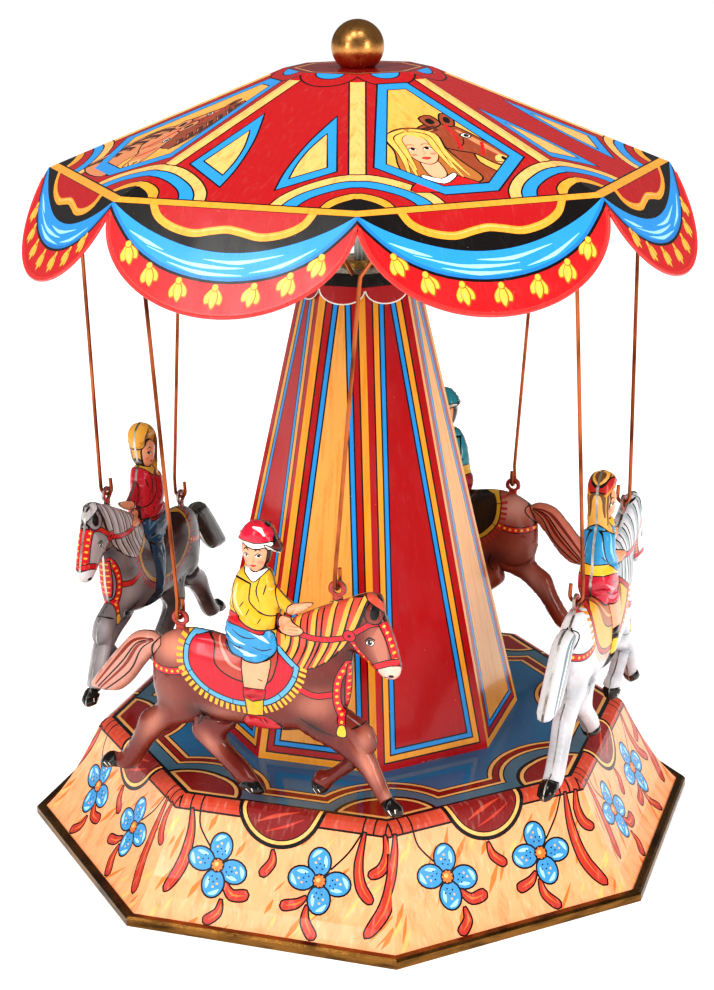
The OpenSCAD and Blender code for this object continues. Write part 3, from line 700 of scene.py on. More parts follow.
def scallop_hems():
    arc = ring_points(0, NOTCH_V, SCALLOP_HALF - 0.1, SCALLOP_DEPTH - 0.1, 2, 178, 4)
    for side in range(SIDES):
        path = on_panel(arc, CANOPY, side, REST_TURN, -0.2)
        hem = tube(f"valance_hem_{side + 1}", path, HEM_R, HEM_RED, "rotor")
        paint = hem.data.color_attributes.new("paint", "FLOAT_COLOR", "CORNER")
        paint.data.foreach_set("color", np.tile(np.array(ink("hem"), np.float32), len(hem.data.loops)))
        layer = hem.data.uv_layers.new(name="art")
        layer.data.foreach_set("uv", np.zeros(len(hem.data.loops) * 2, np.float32))


scallop_hems()

# ---- tower ----

# Length of a side's sloping face, and the widths of its bands from the edge
TOWER_V = 168.6
TOWER_BANDS = (3.0, 5.5, 7.5)
INK_LINE = 0.55
TOWER = [(0, TOWER_TOP_R * FLAT, TOWER_H), (TOWER_V, TOWER_R * FLAT, DECK_H)]


def tower_inset(d):
    """The sloping face drawn in from its edges by d."""
    top_half, low_half = TOWER_TOP_R * FLAT * HALF, TOWER_R * FLAT * HALF
    slope = (low_half - top_half) / TOWER_V
    narrow = top_half - d
    start = max(0, -narrow / slope)
    bottom = TOWER_V - d
    top, foot = (max(narrow + slope * v, 0.02) for v in (start, bottom))
    return [(-top, start - 0.01), (top, start - 0.01), (foot, bottom), (-foot, bottom)]


def tower_face(colours):
    art = Art()
    for d, colour in zip(TOWER_BANDS, colours):
        art.fill("black", tower_inset(d - INK_LINE))
        art.fill(colour, tower_inset(d))
    return art


red_tower = tower_face(("gold", "blue", "red"))
wood_tower = tower_face(("red", "blue", "wood"))
red_tower.shapes.insert(0, ("red", [np.array(tower_inset(-2))]))
wood_tower.shapes.insert(0, ("gold", [np.array(tower_inset(-2))]))
tower = printed_panels("tower_print", TOWER, [red_tower, wood_tower], "red", LITHO_TOWER, "root")

# ---- tower cap ----

CAP_R = (20.0, 21.4, 23.2)
CAP_H = (206.5, 202.0, 195.5)
CAP_V = math.hypot(CAP_H[0] - CAP_H[1], (CAP_R[1] - CAP_R[0]) * FLAT)
CAP_SKIRT = CAP_H[1] - CAP_H[2]
CAP_STRETCH = math.hypot(CAP_SKIRT, (CAP_R[2] - CAP_R[1]) * FLAT) / CAP_SKIRT
CAP = [(v, r * FLAT, z) for v, r, z in zip((0, CAP_V, CAP_V + CAP_SKIRT * CAP_STRETCH), CAP_R, CAP_H)]
CAP_ARC = ring_points(0, CAP_V + CAP_STRETCH, 8.33, 5 * CAP_STRETCH, 0, 180, 12)


def cap_outline():
    right = [(CAP_R[0] * FLAT * HALF, 0), (CAP_R[1] * FLAT * HALF, CAP_V)]
    return np.concatenate([right, CAP_ARC, [(-x, y) for x, y in right[::-1]]])


cap_art = Art()
cap_art.fill("black", [(-12, -1), (12, -1), (12, CAP_V - 0.2), (-12, CAP_V - 0.2)])
cap_art.fill("cap_edge", stroke(CAP_ARC, 0.9))
cap = printed_panels("tower_cap_print", CAP, [cap_art], "red", LITHO, "root", 0.0, cap_outline())

# ---- base ----

DECK_CORNER = np.array([97.5, DECK_H])
SKIRT_BEND = np.array([111.0, 9.8])
SKIRT_FOOT = np.array([123.0, 0.5])
FOLD_R = 6.0
ARBOR_H = 18.0
KEY_HOLE_R = 4.3
SKIRT_SLOPE = math.atan2(DECK_CORNER[1] - SKIRT_BEND[1], SKIRT_BEND[0] - DECK_CORNER[0])
DECK_OUT = (DECK_CORNER[0] - FOLD_R * math.tan(SKIRT_SLOPE / 2)) * FLAT
DECK_IN = 53.0
DECK = [(DECK_IN, DECK_IN, DECK_H), (DECK_OUT, DECK_OUT, DECK_H)]


def deck_art():
    art = Art()
    corner = (DECK_OUT * HALF, DECK_OUT)
    levels = ((29.0, 74.6, "black"), (28.5, 75.1, "tan"), (27.2, 76.4, "black"), (26.8, 76.8, "dark_red"),
              (25.0, 78.9, "black"), (24.6, 79.3, "tan"), (23.4, 80.5, "black"), (22.9, 81.0, "deck"))
    for radius, straight, colour in levels:
        art.fill(colour, [(-60, straight), (60, straight), (60, 90), (-60, 90)])
        for s in (-1, 1):
            art.fill(colour, ring_points(s * corner[0], corner[1], radius, step=7.5))
    lens = ((19.2, 17.4, "black"), (17.9, 16.1, "tan"), (16.6, 14.8, "black"), (16.2, 14.4, "dark_red"))
    for along, deep, colour in lens:
        for s in (-1, 1):
            art.fill(colour, ring_points(s * corner[0], corner[1], along, deep, step=9))
    for s in (-1, 1):
        art.fill("tan", [(s * (corner[0] - 17.2), 84.3), (s * 60, 84.3), (s * 60, 85.6),
                         (s * (corner[0] - 17.6), 85.6)])
    art.fill("black", [(-60, 85.6), (60, 85.6), (60, 90), (-60, 90)])
    return art


deck = printed_panels("deck_print", DECK, [deck_art()], "deck_blue",
                      litho("litho_deck", 0.1, 0.00012, streaks=0.04), "root")


def skirt_profile():
    """The rounded fold, then the hollow curve down to the rim, with v = 0 half way round the fold."""
    centre = DECK_CORNER - [FOLD_R * math.tan(SKIRT_SLOPE / 2), FOLD_R]
    angles = np.linspace(0, SKIRT_SLOPE, 5)
    path = [centre + FOLD_R * np.array([math.sin(a), math.cos(a)]) for a in angles]
    start = path[-1]
    for t in np.linspace(0, 1, 7)[1:]:
        path.append((1 - t) ** 2 * start + 2 * t * (1 - t) * SKIRT_BEND + t * t * SKIRT_FOOT)
    path = np.array(path) * [FLAT, 1]
    run = np.concatenate([[0], np.cumsum(np.linalg.norm(np.diff(path, axis=0), axis=1))])
    return [(v - run[2], a, z) for v, (a, z) in zip(run, path)]


def hooked_leaf(points, widths):
    """A drop that swells from a thin stem to a round end."""
    path = smooth(points, 7, False)
    t = np.linspace(0, 1, len(path))
    width = np.interp(t, np.linspace(0, 1, len(widths)), widths)
    round_end = np.sqrt(np.clip(1 - (np.clip(t - 0.74, 0, 1) / 0.26) ** 2, 0.004, 1))
    return stroke(path, width * round_end)


def flower(at, turn):
    """Four spotted petals round a stippled middle."""
    art = Art()
    for k in range(4):
        petal = Art()
        petal.inked("flower", ring_points(0, -6.2, 3.7, 4.5, step=20), 0.5)
        petal.fill("pale_blue", smooth([(-2.6, -7.6), (-1.4, -9.8), (1.0, -9.9), (-0.6, -8.6)], 3))
        petal.fill("pale_blue", smooth([(2.3, -4.2), (2.8, -6.6), (2.0, -8.4), (1.5, -6)], 3))
        for x, y in ((-1, -4.4), (0.9, -3.9), (0.1, -5.6), (1.7, -5.2)):
            petal.fill("black", ring_points(x, y, 0.32, step=60))
        for x, y in ((-0.2, -7.3), (-1.4, -6.0)):
            petal.fill("cream", ring_points(x, y, 0.42, step=60))
        art.add(petal, turn=90 * k + (6 if k % 2 else -3))
    art.inked("orange", ring_points(0, 0, 2.1, step=30), 0.35)
    for k in range(9):
        x, y = 2.0 * math.cos(k * 0.7), 2.0 * math.sin(k * 0.7)
        art.fill("black", ring_points(x, y, 0.36, step=60))
    art.fill("cream", ring_points(-0.4, -0.3, 0.8, step=45))
    return Art().add(art, move=at, turn=turn)


MIDDLE_LEAVES = (
    ([(-17.0, 25.2), (-13.4, 29.4), (-7.6, 28.6)], [0.9, 3.2, 4.0]),
    ([(-16.8, 31.6), (-17.2, 36.0), (-21.2, 39.6)], [0.6, 2.8, 3.6]),
    ([(12.4, 26.4), (9.4, 29.0), (4.2, 30.4)], [0.7, 2.8, 3.6]),
    ([(13.2, 29.2), (13.6, 34.4), (17.6, 39.6)], [0.6, 2.8, 3.6]),
)
LEAVES_A = (
    ([(-31.8, 3), (-31.2, 11), (-32.9, 22), (-37.4, 31.4)], [0.5, 2.2, 3.6, 3.2]),
    ([(-1.4, 12.9), (-1.2, 17), (-4.4, 21.6)], [0.5, 2.6, 3.2]),
    ([(29.6, 3), (28.8, 13), (30.6, 20.4), (35, 25.2)], [0.5, 2.4, 3.2, 3.6]),
    ([(36.6, 3), (38.0, 9), (36.6, 14.2), (32.8, 16.6)], [0.5, 2.4, 3.2, 3.2]),
    ([(39.4, 9), (40.6, 17), (39.6, 27), (34.8, 36.4)], [1.6, 3.0, 4.2, 4.0]),
)
LEAVES_B = (
    ([(-35.6, 3), (-37.2, 9), (-40.2, 16), (-44.6, 23)], [0.5, 2.0, 3.0, 3.6]),
    ([(-2.4, 12.9), (-1.6, 17.4), (2.4, 21.2)], [0.5, 2.6, 3.2]),
    ([(30.6, 3), (30.2, 15), (32.2, 27), (37.6, 36.4)], [0.5, 2.6, 3.8, 4.2]),
    ([(34.8, 3), (34.0, 9), (35.4, 14.2), (38.6, 16.8)], [0.5, 2.2, 3.0, 3.2]),
)


def skirt_art(seed, side_leaves):
    """One side of the skirt: streaks, a ribbon, a half moon, two flowers on stems and hooked leaves."""
    art = Art()
    rng = random.Random(seed)
    for _ in range(36):
        u, v = rng.uniform(-46, 46), rng.uniform(6, 42)
        length, lean = rng.uniform(3.5, 12), rng.uniform(0.15, 0.45)
        colour = "orange" if rng.random() < 0.7 else "cream"
        run, rise = lean * length, length / 2
        streak = [(u + run, v - rise), (u + rng.uniform(-0.3, 0.3), v), (u - run, v + rise)]
        art.curve(colour, streak, [0.2, rng.uniform(0.5, 2.2), 0.2])
    art.fill("black", [(-60, -4), (60, -4), (60, 3.7), (-60, 3.7)])
    art.fill("brick", [(-60, -2.6), (60, -2.6), (60, 3.0), (-60, 3.0)])
    for x in (28.8, 32.6, 36.6):
        for s in (-1, 1):
            art.line("black", [(s * x, -3.2), (s * x, 3.2)], 0.6)
    stems = ([(-28.8, 3), (-28, 8.5), (-23.3, 15)], [(28.8, 3), (25, 10), (19.5, 16.5)])
    for points in stems:
        art.curve("black", points, 0.65, 4)
    for points, widths in MIDDLE_LEAVES + side_leaves:
        leaf = hooked_leaf(points, widths)
        art.inked("leaf", leaf, 0.45)
        art.line("orange", smooth(points, 3, False)[1:-1] + [0.3, 0], [0.1, widths[1] * 0.25, 0.1])
    art.add(flower((-20.1, 20.4), 8))
    art.add(flower((16.2, 20.6), -4))
    for radius, colour in ((15.5, "black"), (14.1, "cream"), (12.9, "black"), (12.5, "dark_red")):
        art.fill(colour, ring_points(-0.4, -3.2, radius, radius, 0, 360, 8))
    art.curve("brick", [(-8, 4), (-2, 1.5), (6, -1)], [0.2, 1.4, 0.2], 4)
    art.curve("leaf", [(-5, 7), (2, 4.5), (8, 1.5)], [0.2, 1.0, 0.2], 4)
    return art


def key_side(art):
    """The side that the winding key comes out of, with a round hole for it."""
    profile = np.array(skirt_profile())
    ring = ring_points(0, ARBOR_H, KEY_HOLE_R, step=15)
    down = np.interp(-ring[:, 1], -profile[:, 2], profile[:, 0])
    return Art().add(art).fill("hole", np.stack([ring[:, 0], down], 1))


skirt_b, skirt_a = skirt_art(3, LEAVES_B), skirt_art(8, LEAVES_A)
skirts = [skirt_b, skirt_a] * 4
key_low, key_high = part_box("winding_key")
key_azimuth = math.degrees(math.atan2(key_low[1] + key_high[1], key_low[0] + key_high[0]))
key_at = round((key_azimuth - 22.5) / 45) % SIDES
skirts[key_at] = key_side(skirts[key_at])
skirt = printed_panels("skirt_print", skirt_profile(), skirts, "skirt", LITHO_SKIRT, "root")

# ---- CAD nodes that show or could show ----

FINISH = {
    BARE_TIN: ["base_plate", "governor_fan", "base_shell", "tower_shell", "tower_cap"],
    GILT: ["base_rim"],
    BALL: ["finial_ball"],
    BRASS: ["top_bush", "great_wheel", "second_pinion", "second_wheel", "crown_wheel",
            "governor_pinion", "spindle_pinion", "canopy_hub"],
    STEEL: ["motor_plate_front", "motor_plate_rear", "motor_pillars", "step_bearing", "click",
            "winding_arbor", "ratchet_wheel", "second_arbor", "governor_arbor", "spindle"],
    BLUED: ["mainspring", "click_spring"],
    NICKEL: ["winding_key"],
    COPPER: [f"{h}_{end}_rod" for h in HORSES for end in ("neck", "rump")],
    metal("eye_tin", "8c3a2c", "4a1c14", 0.35, 200.0): ["hanger_eyes"],
}
for material, names in FINISH.items():
    for node in names:
        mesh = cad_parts[node].data
        mesh.materials.clear()
        mesh.materials.append(material)
for node in ("finial_ball", "top_bush", "winding_key", "spindle"):
    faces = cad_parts[node].data.polygons
    faces.foreach_set("use_smooth", [True] * len(faces))

# ---- horses and riders: forward is s, up is z ----

BARREL = smooth([(-37.4, 91), (-34.5, 95.4), (-28, 98.6), (-19.6, 99.4), (-10, 98.2), (2, 98.6),
                 (11, 103), (24, 107), (33, 100), (33.6, 89.8), (33, 83.8), (31.1, 77.6), (28, 72.8),
                 (22.5, 70.9), (10.3, 68.2), (-3.6, 67.8), (-14, 67.8), (-22, 69.2), (-29, 67.6),
                 (-36, 70.5), (-38.6, 78), (-38.7, 85.5)])
NECK = smooth([(5, 99), (11.2, 106.6), (20.2, 111.8), (32.8, 117.5), (39.3, 120.2), (43, 119.4),
               (44.5, 113), (41, 104), (35, 100.2), (33, 94), (27, 90), (14, 90)])
HEAD = smooth([(35.5, 117), (40, 119.3), (43.6, 118.2), (46, 112), (48.1, 106.6), (50, 100.2),
               (50.8, 95.8), (49.6, 92.8), (46.6, 91.8), (43.4, 93.5), (39.1, 97.2), (34.8, 99.8),
               (32, 102.8), (31.6, 110)])
EAR = smooth([(40.8, 112), (40.4, 115.6), (43.4, 120.4), (45.4, 116), (44.4, 111.6)], 3)
TAIL = smooth([(-34.4, 93), (-36.4, 95), (-40, 96), (-45.6, 94.6), (-51.1, 89.2), (-59, 79.6),
               (-63.2, 74), (-62.6, 72.4), (-59, 71.8), (-52.8, 72.4), (-47.7, 76.2), (-42.5, 83),
               (-38, 88.4)])
LEGS = {
    -1: [smooth([(17, 80), (10.4, 73), (18.6, 67.3), (28.3, 63.4), (36.6, 57.4), (41.6, 50.4),
                 (44, 46.4), (47.2, 43.2), (51, 44.4), (50.6, 47.4), (47.2, 50.4), (44.4, 57.2),
                 (41, 64.6), (36.6, 69.4), (31, 78)]),
         smooth([(-38.4, 80), (-37.6, 71), (-44.2, 65.4), (-47.4, 57.8), (-52.8, 49.6), (-57.6, 48.8),
                 (-61.4, 45), (-60, 42.6), (-54.6, 43.4), (-50.2, 43.2), (-46, 46.2), (-40.2, 55),
                 (-32.2, 62.4), (-23, 66), (-18, 72), (-26, 82)])],
    1: [smooth([(26, 80), (37.4, 75.6), (41.1, 71.8), (42, 66.9), (39.5, 63.4), (33.5, 57.3),
                (27.4, 52.3), (23.8, 47.8), (20.1, 46.6), (18.6, 50.4), (20.8, 55), (25.2, 56.3),
                (29.8, 60.6), (33, 66.4), (24, 70)]),
        smooth([(-30, 74), (-24.7, 68), (-25, 61.4), (-19.7, 56.2), (-13.5, 50.9), (-9.1, 46.8),
                (-7.4, 43.6), (-2, 42.6), (1.2, 43.6), (-1.2, 47.7), (-5.2, 53.3), (-12.6, 60.8),
                (-8.4, 67.4), (-14, 74)])],
}
BODY = smooth([(-7, 94.5), (-10.8, 100.6), (-9.6, 106.5), (-8.7, 114.5), (-6.4, 120.6), (-3.2, 123.8),
               (4.4, 124), (6.5, 121.2), (7.4, 116), (8.6, 110), (7.6, 104), (8.6, 98), (4.4, 94)])
FACE = smooth([(-3.8, 132), (-3.4, 127.2), (-1.4, 123.8), (1.6, 122.8), (4.4, 125), (5.9, 129), (6, 133),
               (1, 135.4)])
HAT = smooth([(-4.4, 132.4), (-4.2, 136.2), (-1, 139.4), (3, 140), (6.4, 138.4), (7.8, 134.8),
              (9.6, 131.4), (8.6, 129.8), (5, 131.2)])
LOCKS = smooth([(-2.6, 119.2), (-4.8, 121.6), (-5.4, 127), (-5.6, 133), (-3.4, 138), (1.4, 140.2),
                (5.4, 138.2), (6.8, 134.2), (6.2, 131.2), (2.6, 134.4), (-1.4, 132.6), (-2.4, 128),
                (-1.6, 123.4), (-1.2, 119.6)])
ARM = stroke(smooth([(-2.8, 119.8), (-3.4, 112.8), (0.6, 108.2), (5, 106.6), (9.4, 106.2)], 5, False),
             [6.2, 6.4, 6.0, 4.8, 4.2])
FAR_ARM = stroke(smooth([(4.6, 118), (8.2, 114), (13, 110.4)], 4, False), [4.6, 4.8, 4.0])
HAND = smooth([(9, 104.4), (13, 103.4), (17.2, 104.2), (18.2, 105.8), (14, 107.2), (9.2, 108.2)])
FAR_HAND = smooth([(12.2, 109), (16, 110.2), (19.6, 112.6), (20, 114), (16, 113.4), (12.4, 112.2)])
THIGH = smooth([(-9.6, 105.5), (-11, 100.4), (-7.6, 95), (-2.6, 93.4), (3, 93.2), (8, 96.4), (8.6, 100),
                (5, 104.6), (-2, 108.2)])
SHIN = smooth([(-2.8, 95), (-2.2, 84), (-1.6, 73.2), (-3.6, 69), (3, 67.8), (9.6, 69.4), (9.2, 71.6),
               (4, 73.8), (4.8, 83), (6.2, 88), (6.4, 95)])
EYES = ((-28, 102), (29, 120))
LUG_HOLE = 1.5
PARTS = [(BARREL, 5.6, 14), (NECK, 4.2, 9), (HEAD, 3.6, 7), (EAR, 1.6, 2.5), (TAIL, 3.0, 4.5),
         (BODY, 4.4, 6.5), (FACE, 4.4, 5.5), (FAR_ARM, 1.4, 2.2), (FAR_HAND, 1.2, 2)]
RELIEFS = [(THIGH, 1.3, 3.5), (SHIN, 1.2, 3), (ARM, 1.1, 2.6), (HAND, 0.7, 2)]
LEG_LIFT = (3.4, 4.6)
HAT_LIFT = (4.6, 5)
LEG_FADE = 2.5
RIM = 0.45
GRID_PITCH = 1.5
CUT_BOX = [(-70, 36), (60, 36), (60, 146), (-70, 146)]


def edge_distance(points, loop):
    """How far each point is from the nearest edge of a closed loop."""
    a, b = loop, np.roll(loop, -1, 0)
    d = b - a
    rel = points[:, None] - a
    t = np.clip(np.sum(rel * d, 2) / np.maximum(np.sum(d * d, 1), 1e-9), 0, 1)
    return np.linalg.norm(rel - t[..., None] * d, axis=2).min(1)


def swell(points, loop, lift, width):
    """The height of a rounded pressing: nothing at its outline, and lift from width inwards."""
    near = np.minimum(edge_distance(points, loop) / width, 1)
    return np.where(inside(points, [loop]), lift * np.sqrt(1 - (1 - near) ** 2), 0)


def along_path(points, pitch):
    """Places and directions at even steps along a path."""
    step = np.linalg.norm(np.diff(points, axis=0), axis=1)
    run = np.concatenate([[0], np.cumsum(step)])
    at = np.arange(pitch * 0.5, run[-1], pitch)
    place = np.stack([np.interp(at, run, points[:, i]) for i in (0, 1)], 1)
    ahead = np.stack([np.interp(at + 0.1, run, points[:, i]) for i in (0, 1)], 1)
    back = np.stack([np.interp(at - 0.1, run, points[:, i]) for i in (0, 1)], 1)
    way = ahead - back
    return place, way / np.maximum(np.linalg.norm(way, axis=1, keepdims=True), 1e-9)


def strap(art, points, width, dots=True):
    path = smooth(points, 5, False)
    art.inked("tack", stroke(path, width), 0.28)
    if dots:
        for p, _ in zip(*along_path(path, 2.3)):
            art.fill("dots", ring_points(p[0], p[1], width * 0.27, step=60))


def mane(art):
    """Locks that sweep down and back from the crest."""
    crest = smooth([(8.4, 103.5), (13, 108.6), (20.2, 112), (32.8, 117.6), (40.6, 119.6)], 6, False)
    low = smooth([(7.6, 93), (15, 92.4), (24, 95), (30.6, 100.6), (34.2, 108.2)], 6, False)
    art.inked("mane_a", np.concatenate([crest, low[::-1]]), 0.35)
    count = 15
    for k in range(count):
        t = (k + 0.8) / count
        top = crest[min(int(t * len(crest)), len(crest) - 1)]
        end = low[min(int(max(t - 0.2, 0) * len(low)), len(low) - 1)]
        bow = top * 0.42 + end * 0.58 + [2.9 - 0.1 * k, 0.6]
        lock = smooth([top, bow, end], 5, False)
        if k % 2:
            art.line("mane_b", lock, [1.8, 2.3, 0.7])
        art.line("black", lock + [0.95, 0], [0.45, 0.75, 0.35])


def blanket(art):
    """The fringed saddle cloth and the saddle on it."""
    edge = smooth([(-22.4, 99.6), (-24.3, 95), (-23.6, 87.8), (-18.7, 81.7), (-11.8, 78.2), (-3.3, 76.9),
                   (6, 78.7), (12.4, 83.2), (16.2, 88.6), (17.6, 93.4)], 5, False)
    shape = np.concatenate([edge, [(10, 99), (0, 102), (-12, 102)]])
    places, ways = along_path(edge, 1.9)
    for p, w in zip(places, ways):
        out = np.array([w[1], -w[0]])
        art.line("fringe", np.array([p + out * 0.4, p + out * 2.9]), [1.25, 1.0])
    art.inked("border", shape, 0.35)
    inner = grown(shape, -1.9)
    art.inked("cloth", inner, 0.3)
    for p, w in list(zip(places, ways))[2::5]:
        inward = np.array([-w[1], w[0]])
        art.line("black", np.array([p, p + inward * 1.5]), 0.3)
    seat = smooth([(-16.6, 100), (-13.6, 96.6), (-12.8, 90.6), (-8, 87), (-1, 85.6), (6, 86.6), (8.6, 91),
                   (9, 98), (2, 104), (-8, 106), (-12.4, 104)])
    art.inked("saddle", seat, 0.4)
    art.curve("saddle_light", [(-13.4, 99), (-10.4, 94.4), (-7, 90.6), (0, 88.6)], [0.3, 1.3, 0.4], 4)


def horse_face(art):
    """Muzzle, eye, ear, bridle and reins."""
    art.curve("black", [(33, 100.9), (38, 97.8), (43.2, 93.8)], 0.35)
    # A painted highlight down the forehead and nose.
    art.fill("coat_light", smooth([(44.6, 110), (46.6, 105), (47.4, 98.5), (45.6, 96.6), (43.6, 101),
                                   (42.9, 107)], 3))
    art.fill("muzzle", smooth([(43.8, 95.6), (47, 97.4), (50.6, 97), (50.8, 93.6), (48.6, 91.6),
                               (45.6, 92)], 3))
    art.inked("black", ring_points(48.3, 93.9, 0.75, 0.5, step=45), 0.1)
    art.curve("black", [(45, 92.6), (46.8, 93.4), (48.4, 92.4)], 0.3)
    art.inked("white", smooth([(40.3, 104.6), (41.5, 105.7), (43.0, 105.1), (42.1, 104)], 3), 0.2)
    art.fill("black", ring_points(41.6, 104.9, 0.85, step=45))
    # A painted glint in the eye.
    art.fill("white", ring_points(41.9, 105.2, 0.22, step=60))
    art.curve("black", [(39.9, 105.2), (41.4, 106.5), (43.4, 105.9)], [0.3, 0.7, 0.3])
    strap(art, [(34.8, 106.4), (38.6, 109), (41.8, 111), (45.4, 111.6)], 1.5, False)
    strap(art, [(45.2, 111.4), (47.3, 107), (49, 101.8), (50, 98)], 1.8)
    strap(art, [(34.4, 106), (37, 101.6), (41.6, 96.6)], 1.5)
    strap(art, [(41.4, 95.4), (44.6, 97.4), (48, 98.6), (50.8, 98.4)], 1.7, False)
    strap(art, [(16.4, 104.8), (22, 103.8), (28, 104.2), (34, 105.6)], 1.5, False)
    art.inked("tack", ring_points(34.6, 106.2, 1.9, step=30), 0.3)
    art.inked("black", ring_points(34.6, 106.2, 0.5, step=60), 0.1)
    art.inked("coat", EAR, 0.35)
    art.fill("black", smooth([(41.9, 112.8), (41.6, 115.4), (43.3, 118.8), (44.2, 115.4), (43.6, 112.6)],
                             3))
    art.inked("mane_a", smooth([(39.4, 120.4), (42.4, 120.2), (45.2, 117.4), (46.2, 113.2), (44.8, 115.4),
                                (41.8, 118)], 3), 0.3)


def horse_coat(art):
    """Tail, legs, hooves, girth and breast straps."""
    art.inked("tail_light", TAIL, 0.35)
    for shift, dark in ((1.2, "tail_dark"), (3.6, "black"), (5.2, "tail_dark"), (8.0, "black")):
        spread = np.outer([0.1, 0.55, 0.9, 0.5], [0.72 * shift, -0.72 * shift])
        path = np.array([(-37.6, 94.4), (-44.8, 93.4), (-51.8, 86.6), (-60.6, 75)]) + spread
        art.curve(dark, path, [0.3, 1.3 if dark != "black" else 0.6, 0.5], 5)
    for loops in LEGS.values():
        for loop in loops:
            art.fill("coat", loop)
    for hoof in ([(43.4, 46.4), (47.2, 42.6), (51.8, 44.6), (51, 48.2), (47.4, 50)],
                 [(-62.6, 45), (-60, 41.6), (-54.2, 42.8), (-53.6, 47), (-57, 49.6)],
                 [(18.8, 45.8), (25, 46.4), (24.4, 50), (20, 51.6), (17.6, 51)],
                 [(-8.2, 45.6), (-6.4, 42), (1.6, 42), (0.6, 46.6), (-4.4, 47.6)]):
        art.inked("hoof", hoof, 0.3)
        centre = np.mean(hoof, 0)
        # Two white strokes on each hoof: painted highlights.
        art.line("white", [centre + [-0.9, 0.6], centre + [0.2, -1.2]], [0.5, 0.2])
        art.line("white", [centre + [1.1, 0.9], centre + [1.5, -0.4]], [0.35, 0.2])
    for points in ([(-20.4, 73.2), (-19.2, 69.4), (-21.4, 66)], [(17, 75.4), (22.4, 72), (29.4, 70.2)],
                   [(34.2, 73.4), (38.4, 75.4)], [(-38.4, 88), (-37.4, 92), (-34.6, 95.4)]):
        art.curve("black", points, [0.2, 0.7, 0.2], 4)
    strap(art, [(-39, 86.4), (-34, 85.0), (-28, 85.2), (-23.4, 86.8)], 2.1)
    strap(art, [(17.2, 86.2), (23, 84.4), (30, 85.6)], 1.8, False)
    strap(art, [(33.6, 96.4), (30.6, 90.6), (29.9, 83.4), (30.8, 77.6), (31.4, 73.6)], 2.0)
    strap(art, [(33.9, 95.4), (33.2, 88), (32.8, 81)], 1.4)
    art.inked("dots", smooth([(30.4, 74), (29.8, 71), (32.6, 70.8), (32.2, 74)], 3), 0.3)


def rider(art, look):
    """Dress, limbs and hands."""
    art.inked("shirt_far", FAR_ARM, 0.35)
    art.inked("skin", FAR_HAND, 0.3)
    art.inked("skin", SHIN, 0.35)
    if look["legs"] == "bare":
        art.inked("sock", [(-1.9, 81), (-1.5, 73.4), (3.9, 73.6), (4.5, 81)], 0.3)
        art.inked("shoe", [(-2.4, 80.4), (-2.4, 83.4), (1.6, 84), (5.4, 83.6), (4.9, 80.6), (1.4, 79.8)],
                  0.3)
        art.line("black", [(4.9, 87.2), (3.4, 87.8)], 0.3)
    else:
        art.inked("trousers", [(-2.8, 97), (-2.5, 84), (-1.8, 73.4), (4.2, 73.4), (5, 83), (6.6, 88),
                               (6.8, 97)], 0.3)
        art.line("trousers_light", [(0.4, 92), (0.8, 84), (0.6, 77)], [0.3, 1.2, 0.3])
        art.line("black", [(4.6, 88), (2.2, 87), (0.4, 87.6)], [0.3, 0.5, 0.2])
    art.inked("shoe", smooth([(-1.6, 73.6), (-3.7, 69.6), (3, 68.8), (9.4, 69.9), (8.6, 71.8), (4, 74)],
                             3), 0.35)
    art.line("black", [(-4, 68.4), (3, 67.8), (10, 69)], 1.0)
    for x in (3.0, 4.4):
        art.line("black", [(x, 73), (x + 1.2, 71.6)], 0.3)
    art.inked("shirt", grown(BODY, 0.3), 0.3)
    art.inked("trousers", THIGH, 0.35)
    for points in ([(-6, 103.4), (-2, 101.2), (2.4, 101.4)], [(-8.4, 99.8), (-5, 97.6), (-2, 97.2)],
                   [(1, 98.4), (4.6, 97.2), (7.4, 98)], [(-4.6, 95.6), (-3.4, 98)]):
        art.curve("black", points, [0.15, 0.5, 0.15])
    for points in ([(-8.6, 102.4), (-5, 99.8), (-1.4, 98.6)], [(0.4, 103.4), (4.2, 101.8), (6.6, 99.8)],
                   [(-6, 97.4), (-2, 95.4), (2.6, 95.4)]):
        art.curve("trousers_light", points, [0.2, 1.3, 0.2])
    art.inked("trim", smooth([(-10.4, 105.6), (-9.8, 108.8), (-3, 107.8), (4.4, 104.6), (3.6, 102.8),
                              (-4, 105.2)], 3), 0.3)
    art.curve("shirt_light", [(-6, 120), (-7, 114.6), (-6.8, 110.4)], [0.3, 1.1, 0.3])
    for points in ([(3.6, 121.6), (2.4, 117.4), (3.4, 113.4)], [(5.4, 119.4), (4.6, 116)],
                   [(-8, 112), (-6.6, 110)], [(2.4, 110.8), (4.8, 109.6)]):
        art.curve("black", points, [0.2, 0.5, 0.2])
    art.inked("shirt", ARM, 0.38)
    art.curve("shirt_light", [(-4.2, 119.4), (-4.9, 113.4), (-2, 108.8)], [0.3, 1.1, 0.2])
    for points in ([(-1.6, 113.6), (-3.2, 111.4)], [(0.2, 111.2), (-1, 108.6)],
                   [(4.2, 108.4), (3, 106.4)]):
        art.curve("black", points, [0.15, 0.45, 0.15])
    art.inked("trim", [(7.6, 103.9), (10, 103.6), (10.8, 108.3), (8.4, 109)], 0.3)
    art.inked("skin", HAND, 0.32)
    for y in (104.6, 105.6, 106.5):
        art.line("skin_dark", [(13.2, y - 0.2), (17.0, y)], 0.25)
    art.inked("collar", smooth([(-4.2, 124.6), (-0.6, 121.6), (1.4, 120.4), (3.4, 122), (5.4, 124.6),
                                (1.6, 123.2)], 3), 0.3)


